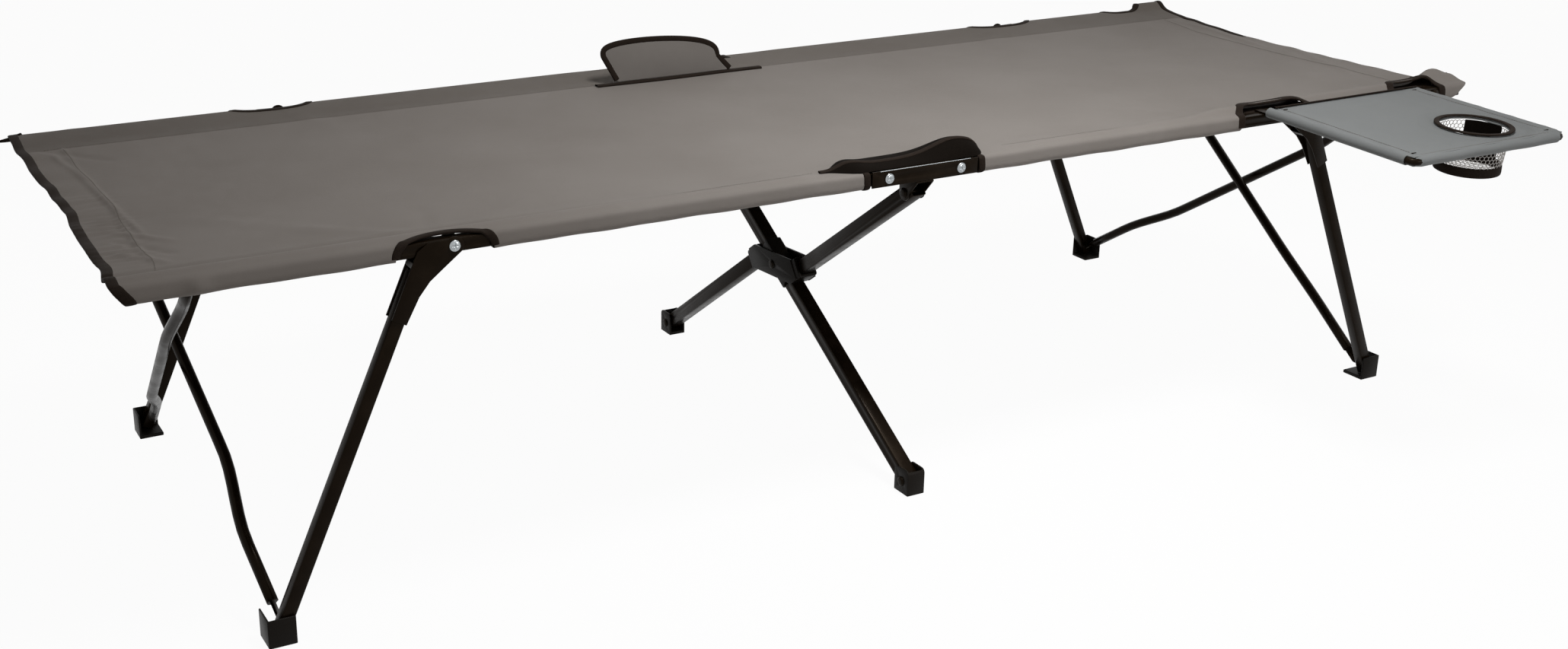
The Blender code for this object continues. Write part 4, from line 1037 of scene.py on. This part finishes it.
def ridge(x):
    """The near flap's height: low on the left, and a hill with a blunt nose on the right."""
    left = smooth((x + 0.128) / 0.030)
    nose = np.sqrt(np.clip(1 - np.maximum((x - 0.078) / 0.0172, 0) ** 2, 0, 1))
    return left * nose * (0.0040 + 0.0040 * bump(x, -0.092, 0.020) + 0.0150 * bump(x, 0.060, 0.042))


def flap_width(x):
    """1 along the flap, and less where it narrows to its two ends."""
    blunt = np.sqrt(np.clip(1 - np.maximum((x - 0.070) / 0.0262, 0) ** 2, 0, 1))
    return smooth((x + 0.134) / 0.05) * blunt


def flap_grid(first, last, count):
    """The cloth rises from the deck over the ridge, and comes down again beyond the channel."""
    turn = np.linspace(0, math.pi / 2, count)
    x = first + (last - first) * (np.sin(turn) if last > 0 else 1 - np.cos(turn))
    v = np.linspace(0, 1, 23)
    xs, vs = np.meshgrid(x, v)
    width = flap_width(xs) + 0.02
    y = -0.300 + width * (0.028 - 0.051 * vs)
    over = np.sin(math.pi * vs ** 0.85) ** 0.75
    z = FLAP_REST + ridge(xs) * over
    return np.stack([xs, y + MIDDLE, z], axis=-1), np.stack([xs, 0.055 * vs], axis=-1)


def crest_tape(first, last, count):
    """The flap's bound edge runs along its crest."""
    x = np.linspace(first, min(last, 0.0945), count)
    y = -0.3005 + 0.0015 * np.sin(x * 38) + MIDDLE
    place = np.stack([x, y, FLAP_REST + ridge(x) + 0.0005], axis=1)
    return place, np.array([0.0, -0.30, 0.95])


for end, sx in ENDS.items():
    limits = (FLAP_FROM, 0.0) if sx < 0 else (0.0, FLAP_TO)
    grid, uv = flap_grid(*limits, 46)
    flap = cloth_object(f"near_flap_{end}", grid, uv, thickness=FLAP_WALL)
    # The near flap's black is painted shade: it lies in its own shadow.
    dress(flap, BLACK_CLOTH_AND_FLAP_SHADE, None, ["hinge_flap_near"])
    place, up = crest_tape(*limits, 46)
    rim = bind(f"near_flap_tape_{end}", place, up, superellipse(0.0060, 0.0026), None)
    bend(flap)
    bend(rim)

# %% [markdown]
# A thin bright line runs along the near channel's top edge, where it catches the light. It is a
# painted highlight: a bead of zinc, sunk a little into the edge.

# %% Paint a highlight along an edge
SUNK = 0.0003
channel_low, channel_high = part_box("hinge_channel_near")
x = np.linspace(-0.066, 0.066, 30)
y, z = np.full_like(x, channel_low.y + SUNK), np.full_like(x, channel_high.z - SUNK)
line = np.stack([x, y, z], axis=1)
# A bead of zinc: the painted highlight on the channel's top edge.
painted_highlight = carry("hinge_channel_highlight", line, (0, 0, 1), superellipse(0.0009, 0.0009, 2.0, 8))
dress(painted_highlight, ZINC, "centre_near")

# %% [markdown]
# The far flap's outline starts on its base line, leans out to the left, and runs over a flat arch.
# Points between the base and the arch lie on straight lines, with a slight belly in the cloth.

# %% Build the far flap
FAR_BASE = 0.240


def far_flap(u, v):
    """u runs along the flap, and v from its base to its arch on straight lines, with a belly."""
    low = -0.134 + 0.185 * u
    high = -0.061 - 0.092 * np.cos(math.pi * u)
    height = v * (0.037 - 0.016 * u + 0.024 * np.sin(math.pi * u) ** 0.6)
    belly = 0.0022 * np.sin(math.pi * v) * np.sin(math.pi * u)
    y = FAR_BASE + 0.22 * height - belly + MIDDLE
    return np.stack([low + (high - low) * v, y, TOP + 0.0006 + height], axis=-1)


v, u = np.meshgrid(np.linspace(0, 1, 25), np.linspace(0, 1, 61), indexing="ij")
uv = np.stack([u * 0.18, v * 0.06], axis=-1)
panel = cloth_object("far_flap", far_flap(u, v), uv, thickness=FLAP_WALL)
dress(panel, FLAP_CLOTH, None, ["hinge_flap_far"])
climb = np.linspace(0.06, 1, 16)
over = (1 - np.cos(np.linspace(0, math.pi, 60))) / 2
us = np.concatenate([np.zeros(16), over[1:-1], np.ones(16)])
vs = np.concatenate([climb, np.ones(58), climb[::-1]])
line = resample(far_flap(us, vs), 0.003)
rim = bind("far_flap_tape", line, (0, -1, 0.2), superellipse(0.0085, 0.0032), None)
bend(panel)
bend(rim)
for end, sx in ENDS.items():
    x = np.linspace(0, -0.169 if sx < 0 else 0.100, 40)
    y = FAR_BASE - 0.004 + 0.0015 * np.sin(x * 25)
    place = np.stack([x, y + MIDDLE, cloth_height(x, y) + 0.0018], axis=1)
    outline = superellipse(0.0120, 0.0038)
    bend(bind(f"far_flap_base_{end}", place, (0, 0, 1), outline, None))

# %% [markdown]
# ## The side table
#
# The table is a sheet of blue-grey cloth over a bent rod. The cloth is wrapped round the rod on
# each side and sewn to itself as a hem. We work in the table's own frame: x across, y outwards and
# z up, with its origin on the rod beside the bed, and turn the points by the table's droop at the
# end.

# %% Place the table
rod_low, rod_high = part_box("table_frame")
cup_low, cup_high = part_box("cup_rim")
ROD = 0.005
TABLE_LEFT, TABLE_RIGHT = rod_low.x + ROD, rod_high.x - ROD
DROOP = math.radians(2.2)
TABLE_BACK = Vector((0, rod_high.y - ROD, 0.4390))
REACH = (rod_high.y - rod_low.y - 2 * ROD) / math.cos(DROOP)
CUP_X = (cup_low.x + cup_high.x) / 2
CUP_OUT = (TABLE_BACK.y - (cup_low.y + cup_high.y) / 2) / math.cos(DROOP)
CUP = (cup_high.x - cup_low.x) / 2 - 0.007
print(f"table {TABLE_LEFT:.3f} to {TABLE_RIGHT:.3f}, reach {REACH:.3f}, cup radius {CUP:.4f}")


def on_table(x, out, height):
    """Points of the table's own frame, drooped and put in place."""
    x, out, height = np.broadcast_arrays(x, out, height)
    y = TABLE_BACK.y - out * math.cos(DROOP) - height * math.sin(DROOP)
    z = TABLE_BACK.z - out * math.sin(DROOP) + height * math.cos(DROOP)
    return np.stack([x, y, z], axis=-1)


# %% [markdown]
# Seen from the front, the cloth's section is a hem under the left rod, half a turn round it, the
# top, and the same on the right. The top sags a little. For the cup, each point within a few
# centimetres of its axis moves outwards, which opens a smooth round hole in a square grid.

# %% Build the table's cloth
WRAP = ROD + 0.0010
TABLE_WALL = 0.0011


def table_section():
    """(x, height) from the left hem over the top to the right hem, close together at the rods."""
    turn = np.radians(np.linspace(270, 90, 13))
    left = np.stack([TABLE_LEFT + WRAP * np.cos(turn), WRAP * np.sin(turn)], axis=1)
    right = np.stack([TABLE_RIGHT - WRAP * np.cos(turn[::-1]), WRAP * np.sin(turn[::-1])], axis=1)
    hem = np.array([[TABLE_LEFT + 0.014, -WRAP], [TABLE_LEFT + 0.007, -WRAP]])
    hem_right = np.array([[TABLE_RIGHT - 0.007, -WRAP], [TABLE_RIGHT - 0.014, -WRAP]])
    top = np.linspace(TABLE_LEFT, TABLE_RIGHT, 112)[1:-1]
    flat = np.stack([top, np.full_like(top, WRAP)], axis=1)
    return np.vstack([hem, left, flat, right, hem_right])


# %% [markdown]
# The section is carried outwards in 96 steps. On top the cloth sags, is pulled in small waves by
# its hems, and dips along the stitches. The faces at the cup's axis and at the outer corners are
# left out.

# %% Lay the cloth over the rod
section = table_section()
out = np.linspace(-0.002, REACH - 0.001, 96)
x = np.broadcast_to(section[:, 0], (len(out), len(section))).copy()
height = np.broadcast_to(section[:, 1], x.shape).copy()
outs = np.broadcast_to(out[:, None], x.shape).copy()
on_top = height > WRAP * 0.99
from_side = np.minimum(x - TABLE_LEFT, TABLE_RIGHT - x)
from_end = np.minimum(outs, REACH - outs)
sag = 0.0030 * smooth(from_side / 0.05) * smooth(from_end / 0.04)
stitch_line = -0.0005 * bump(from_side, 0.0125, 0.0016)
pull = 0.0006 * np.sin(outs * 120 + x * 17) * bump(from_side, 0, 0.02)
height = height + on_top * (stitch_line + pull - sag)
from_cup = np.hypot(x - CUP_X, outs - CUP_OUT)
reach_of_hole = CUP * 1.7
opened = CUP - 0.0015 + from_cup * (reach_of_hole - CUP + 0.0015) / reach_of_hole
push = np.where(on_top & (from_cup < reach_of_hole), opened / np.maximum(from_cup, 1e-6), 1.0)
hole_x = CUP_X + (x - CUP_X) * push
hole_out = CUP_OUT + (outs - CUP_OUT) * push
grid = on_table(hole_x, hole_out, height)
centres = (from_cup[1:, 1:] + from_cup[:-1, :-1]) / 2
keep = ~((centres < 0.0045) & on_top[1:, 1:])
OPEN_CORNER = 0.011
near_corner = (outs[1:, 1:] > REACH - OPEN_CORNER) & ~(on_top[1:, 1:] & on_top[:-1, :-1])
keep &= ~near_corner
top_cloth = cloth_object("table_top", grid, np.stack([x, outs], axis=-1), keep, TABLE_WALL)
dress(top_cloth, TABLE_CLOTH, "table", ["table_cloth"])

# %% [markdown]
# The front hem is a second sheet, folded round the front rod and rounded off at its two ends.

# %% Fold the front hem
turn = np.radians(np.linspace(95, 270, 15))
below = [REACH - 0.008, REACH - 0.015]
hem_out = np.concatenate([[REACH - 0.006], REACH - WRAP * np.cos(turn), below])
hem_height = np.concatenate([[WRAP - 0.0004], WRAP * np.sin(turn), [-WRAP, -WRAP]])
x = np.linspace(TABLE_LEFT + 0.0035, TABLE_RIGHT - 0.0035, 120)
xs, heights = np.meshgrid(x, hem_height)
outs = np.broadcast_to(hem_out[:, None], xs.shape)
round_off = 0.0045 * (1 - smooth(np.minimum(xs - x[0], x[-1] - xs) / 0.010))
rounded_outs = outs - round_off * (outs > REACH - 0.002)
grid = on_table(xs, rounded_outs, heights + 0.0003 * np.sin(xs * 90))
uv = np.stack([xs, outs + heights], axis=-1)
front = cloth_object("table_front_hem", grid, uv, thickness=TABLE_WALL)
dress(front, TABLE_CLOTH, "table")

# %% [markdown]
# The edge beside the bed is bound in black, and small dark bar tacks hold the hems at the corners.

# %% Bind the table's back edge and tack its corners
x = np.linspace(TABLE_LEFT + 0.002, TABLE_RIGHT - 0.002, 90)
line = on_table(x, 0.0015, WRAP + 0.0010)
bind("table_back_tape", line, (0, 0.35, 0.94), superellipse(0.0105, 0.0026), "table")
tacks = []
for out in (0.012, REACH - 0.014):
    for x in (TABLE_LEFT + 0.014, TABLE_RIGHT - 0.014):
        line = on_table(x + np.linspace(-0.0035, 0.0035, 8), out, WRAP + 0.0004)
        tacks.append(carry("tack", line, (0, 0, 1), superellipse(0.0016, 0.0014, 2.4, 8)))
dress(join("table_tacks", tacks), BINDING, "table")

# %% [markdown]
# ## The net cup holder
#
# Honeycomb net is a lattice where three strands meet at each knot. We lay it out flat, as zigzag
# rows joined by short uprights, and wrap it round the cup. Each strand is a thin square bar, so
# daylight shows through the holes as it does in real net.


# %% Lay out a honeycomb
def honeycomb(columns, rows, strand):
    """Zigzag knots, each joined to the next in its row and every other one to the row above."""
    i, j = np.meshgrid(np.arange(columns), np.arange(rows), indexing="ij")
    raised = (i + j) % 2 == 0
    x = i * strand * math.cos(math.pi / 6)
    place = np.stack([x, j * 1.5 * strand + 0.5 * strand * raised], axis=-1)
    index = np.arange(columns * rows).reshape(columns, rows)
    along = np.stack([index[:-1].ravel(), index[1:].ravel()], axis=1)
    upright = np.stack([index[:, :-1][raised[:, :-1]], index[:, 1:][raised[:, :-1]]], axis=1)
    return place.reshape(-1, 2), np.vstack([along, upright])


def bars(name, points, pairs, normals, width):
    """A square bar for each pair of knots: four sides and two ends."""
    start, stop = points[pairs[:, 0]], points[pairs[:, 1]]
    along = stop - start
    along /= np.linalg.norm(along, axis=1, keepdims=True)
    up = normals[pairs[:, 0]]
    side = np.cross(along, up)
    side /= np.linalg.norm(side, axis=1, keepdims=True)
    up = np.cross(side, along)
    ring = [(-1, -1), (1, -1), (1, 1), (-1, 1)]
    half = width / 2
    corners = [start + half * (a * side + b * up) for a, b in ring]
    corners += [stop + half * (a * side + b * up) for a, b in ring]
    verts = np.stack(corners, axis=1).reshape(-1, 3)
    sides = [[0, 1, 5, 4], [1, 2, 6, 5], [2, 3, 7, 6], [3, 0, 4, 7]]
    box = np.array([*sides, [3, 2, 1, 0], [4, 5, 6, 7]])
    faces = (np.arange(len(pairs))[:, None, None] * 8 + box[None]).reshape(-1, 4)
    if volume_sign(verts, faces) < 0:
        faces = faces[:, ::-1]
    obj = make_object(name, verts, faces)
    obj.data.shade_flat()
    return obj


# %% Build the net bag
DEPTH = 0.055
BAND = 0.013
STRAND_WIDTH = 0.00070
around = 96
strand = 2 * math.pi * CUP / around / math.cos(math.pi / 6)
flat, pairs = honeycomb(around + 1, int(DEPTH / (1.5 * strand)) + 1, strand)
turn = flat[:, 0] / CUP
drop = flat[:, 1] + 0.001


def bag_radius(drop):
    """Nearly straight sides that draw in a little towards the bottom."""
    return CUP - 0.0008 - 0.0030 * (drop / DEPTH) ** 2 + 0.0010 * np.sin(math.pi * drop / DEPTH)


def round_the_cup(turn, radius, height):
    """Points on a circle round the cup's axis, at a height above the rods' middle."""
    return on_table(CUP_X + radius * np.cos(turn), CUP_OUT + radius * np.sin(turn), height)


def on_bag(turn, drop, grow=0.0):
    """A point of the bag's wall: an angle round the cup and a drop below the cloth."""
    return round_the_cup(turn, bag_radius(drop) + grow, WRAP - 0.004 - drop)


points = on_bag(turn, drop)
axis_point = on_table(np.full_like(drop, CUP_X), np.full_like(drop, CUP_OUT), -drop)
outward = points - axis_point
outward /= np.linalg.norm(outward, axis=1, keepdims=True)
inside = (drop[pairs] < DEPTH - 0.001).all(axis=1)
wall = bars("net_wall", points, pairs[inside], outward, STRAND_WIDTH)
bottom_flat, bottom_pairs = honeycomb(46, 40, strand)
bottom_flat = bottom_flat - bottom_flat.mean(axis=0)
within = np.hypot(*bottom_flat.T) < bag_radius(DEPTH) - 0.001
bottom_pairs = bottom_pairs[within[bottom_pairs].all(axis=1)]
sagged = DEPTH + 0.0010 - 0.002 * (np.hypot(*bottom_flat.T) / CUP) ** 2
x, out = bottom_flat.T
bottom_points = on_table(CUP_X + x, CUP_OUT + out, WRAP - 0.004 - sagged)
straight_up = np.broadcast_to((0.0, 0.0, 1.0), bottom_points.shape)
bottom = bars("net_bottom", bottom_points, bottom_pairs, straight_up, STRAND_WIDTH)
net = join("net_bag", [wall, bottom])
dress(net, NET, "table", ["cup_net"])
print("net strands:", int(inside.sum()) + len(bottom_pairs))

# %% [markdown]
# The net's rim is sewn to the table's cloth with a ring of tape, and its lower edge is bound with
# a deep band. A panel of black cloth stiffens the wall on its right side.

# %% Bind the bag
turn = np.linspace(0, 2 * math.pi, 120, endpoint=False)
ring = round_the_cup(turn, CUP + 0.0028, WRAP + 0.0004)
outline = superellipse(0.0070, 0.0026, 2.6, 14)
bind("cup_rim_tape", ring, (0, 0, 1), outline, "table", ["cup_rim"], closed=True)
lower = on_bag(turn, np.full_like(turn, DEPTH - BAND / 2 + 0.001), 0.0006)
away = lower - on_table(CUP_X, CUP_OUT, -DEPTH)
outline = superellipse(BAND, 0.0026, 3.2, 14)
bind("cup_band", lower, away * (1, 1, 0), outline, "table", closed=True)
turns, drops = np.radians(np.linspace(-54, 16, 24)), np.linspace(0.0, DEPTH - 0.004, 12)
turns, drops = np.meshgrid(turns, drops, indexing="ij")
uv = np.stack([turns * CUP, drops], axis=-1)
panel = cloth_object("cup_panel", on_bag(turns, drops, -0.0012), uv)
dress(panel, BLACK_CLOTH_AND_FLAP_SHADE, "table")

# %% [markdown]
# ## Stitches
#
# Every seam and hem is sewn with a grey thread. A stitch shows as a bar of 2.4 mm, with 1.5 mm of
# cloth before the next: a path is cut into steps of 0.3 mm, of which a stitch spans 8, and the
# next one starts 13 on. The seam on the near side runs beside its groove.


# %% Sew the seams and hems
dark, light = (0.150, 0.138, 0.125), (0.235, 0.218, 0.200)
THREAD = dull("grey_thread", dark, light, 900.0, 0.0001, 0.8)


def stitches(name, path):
    """Bars along a path: every point where a stitch starts is joined to the one where it ends."""
    path = resample(path, 0.0003)
    starts = np.arange(0, len(path) - 9, 13)
    pairs = np.stack([starts, starts + 8], axis=1)
    return bars(name, path, pairs, np.broadcast_to((0.0, 0.0, 1.0), path.shape), 0.00050)


def on_cloth(x, y):
    x, y = np.broadcast_arrays(x, y)
    return np.stack([x, y + MIDDLE, cloth_height(x, y) + 0.0006], axis=-1)


for end, sx in ENDS.items():
    x = np.linspace(0.14, 0.93, 400) * sx
    for side, y in (("near", -0.2925), ("far", SEAM_Y["far"] + 0.003)):
        seam = stitches(f"{side}_seam_stitches_{end}", on_cloth(x, y))
        dress(seam, THREAD, f"rail_{side}_{end}")
    y = np.linspace(-0.280, 0.238, 300)
    hem = stitches(f"hem_stitches_{end}", on_cloth(sx * (edge_x(sx, y) - HEM), y))
    dress(hem, THREAD, f"rail_near_{end}")
    draw_in(hem)
out = np.linspace(0.006, REACH - 0.016, 200)
lines = [on_table(x, out, WRAP + 0.0002) for x in (TABLE_LEFT + 0.0125, TABLE_RIGHT - 0.0125)]
x = np.linspace(TABLE_LEFT + 0.018, TABLE_RIGHT - 0.018, 200)
lines.append(on_table(x, REACH - 0.0065, WRAP + 0.0004))
hems = [stitches(f"hem_{number}", line) for number, line in enumerate(lines)]
dress(join("table_stitches", hems), THREAD, "table")

# %% [markdown]
# ## The camera
#
# The photograph was taken from above the near left corner with a normal lens. Its place and
# direction were fitted to the cot's corners, rivets and feet. A small shift of the lens keeps the
# cot where it sits in the frame.

# %% Place the camera
forward = Vector((0.44251, 0.83552, -0.32572))
rightward = Vector((0.88397, -0.46754, 0.00161))
upward = Vector((0.15095, 0.28864, 0.94546))
turned = Matrix((rightward, upward, -forward)).transposed().to_4x4()
lens = bpy.data.cameras.new("camera")
FOCAL_PIXELS, PHOTO_WIDTH = 2398.2, 2060
lens.sensor_width = 36
lens.lens = FOCAL_PIXELS * 36 / PHOTO_WIDTH
lens.shift_x, lens.shift_y = 0.0710, -0.0346
lens.clip_end = 60
camera = bpy.data.objects.new("camera", lens)
camera.matrix_world = Matrix.Translation((-1.2614, -2.0573 + MIDDLE, 1.0295)) @ turned
bpy.context.scene.collection.objects.link(camera)
bpy.context.scene.camera = camera

# %% [markdown]
# ## Floor and light
#
# The backdrop is white and the light is soft. The floor is pale paper. It looks nearly white to
# the camera and in reflections, and still takes the soft shadow of the feet.


# %% Lay the floor
def looked_at(tree):
    """1 where the camera or a reflection sees a surface, and 0 for the light it sends to others."""
    path = add_node(tree, "ShaderNodeLightPath")
    return maths(tree, "MAXIMUM", path.outputs["Is Camera Ray"], path.outputs["Is Glossy Ray"])


bpy.ops.mesh.primitive_plane_add(size=30, location=(0, 0, -0.0005))
floor = bpy.context.object
floor.name = "floor"
paper, tree, shader = new_material("white_paper")
shader.inputs["Base Color"].default_value = (0.8, 0.8, 0.8, 1)
shader.inputs["Roughness"].default_value = 0.9
shader.inputs["Specular IOR Level"].default_value = 0.1
glow = add_node(tree, "ShaderNodeEmission", {"Color": (1, 1, 1, 1), "Strength": 1.0})
seen = maths(tree, "MULTIPLY", looked_at(tree), 0.96)
mix = add_node(tree, "ShaderNodeMixShader", {0: seen, 1: shader.outputs[0], 2: glow.outputs[0]})
tree.links.new(mix.outputs[0], tree.nodes["Material Output"].inputs["Surface"])
floor.data.materials.append(paper)

# %% [markdown]
# The world gives a dim, even, warm light from all round, and looks white in the same way.

# %% Make the world
world = bpy.data.worlds.new("studio")
bpy.context.scene.world = world
world.use_nodes = True
tree = world.node_tree
dim = tree.nodes["Background"]
dim.inputs["Color"].default_value = (1.0, 0.88, 0.78, 1)
dim.inputs["Strength"].default_value = 0.165
white = add_node(tree, "ShaderNodeBackground", {"Color": (1, 1, 1, 1), "Strength": 1.0})
shades = {0: looked_at(tree), 1: dim.outputs[0], 2: white.outputs[0]}
mix = add_node(tree, "ShaderNodeMixShader", shades)
tree.links.new(mix.outputs[0], tree.nodes["World Output"].inputs["Surface"])


# %% [markdown]
# One lamp hangs two metres up, before the middle of the bed, with a narrowed spread. Both ends of
# the bed fall off a little, and a half that is folded up stays clear of it. Another stands in
# front on the right and draws out the rolled sleeve.


# %% Hang the lamps
def lamp(name, size, power, place, target, spread=math.pi):
    light = bpy.data.lights.new(name, "AREA")
    light.shape = "RECTANGLE"
    light.size, light.size_y = size
    light.energy = power
    light.spread = spread
    obj = bpy.data.objects.new(name, light)
    obj.location = place
    obj.rotation_euler = (Vector(target) - Vector(place)).to_track_quat("-Z", "Y").to_euler()
    bpy.context.scene.collection.objects.link(obj)


place, target = (0.14, MIDDLE - 0.75, 2.1), (0.14, MIDDLE - 0.35, 0.4)
lamp("above", (0.5, 0.5), 10.5, place, target, math.radians(95))
lamp("front", (1.2, 0.8), 16, (1.2, -2.5, 1.1), (0.6, MIDDLE - 0.3, 0.4))
bpy.context.scene.view_settings.view_transform = "Standard"
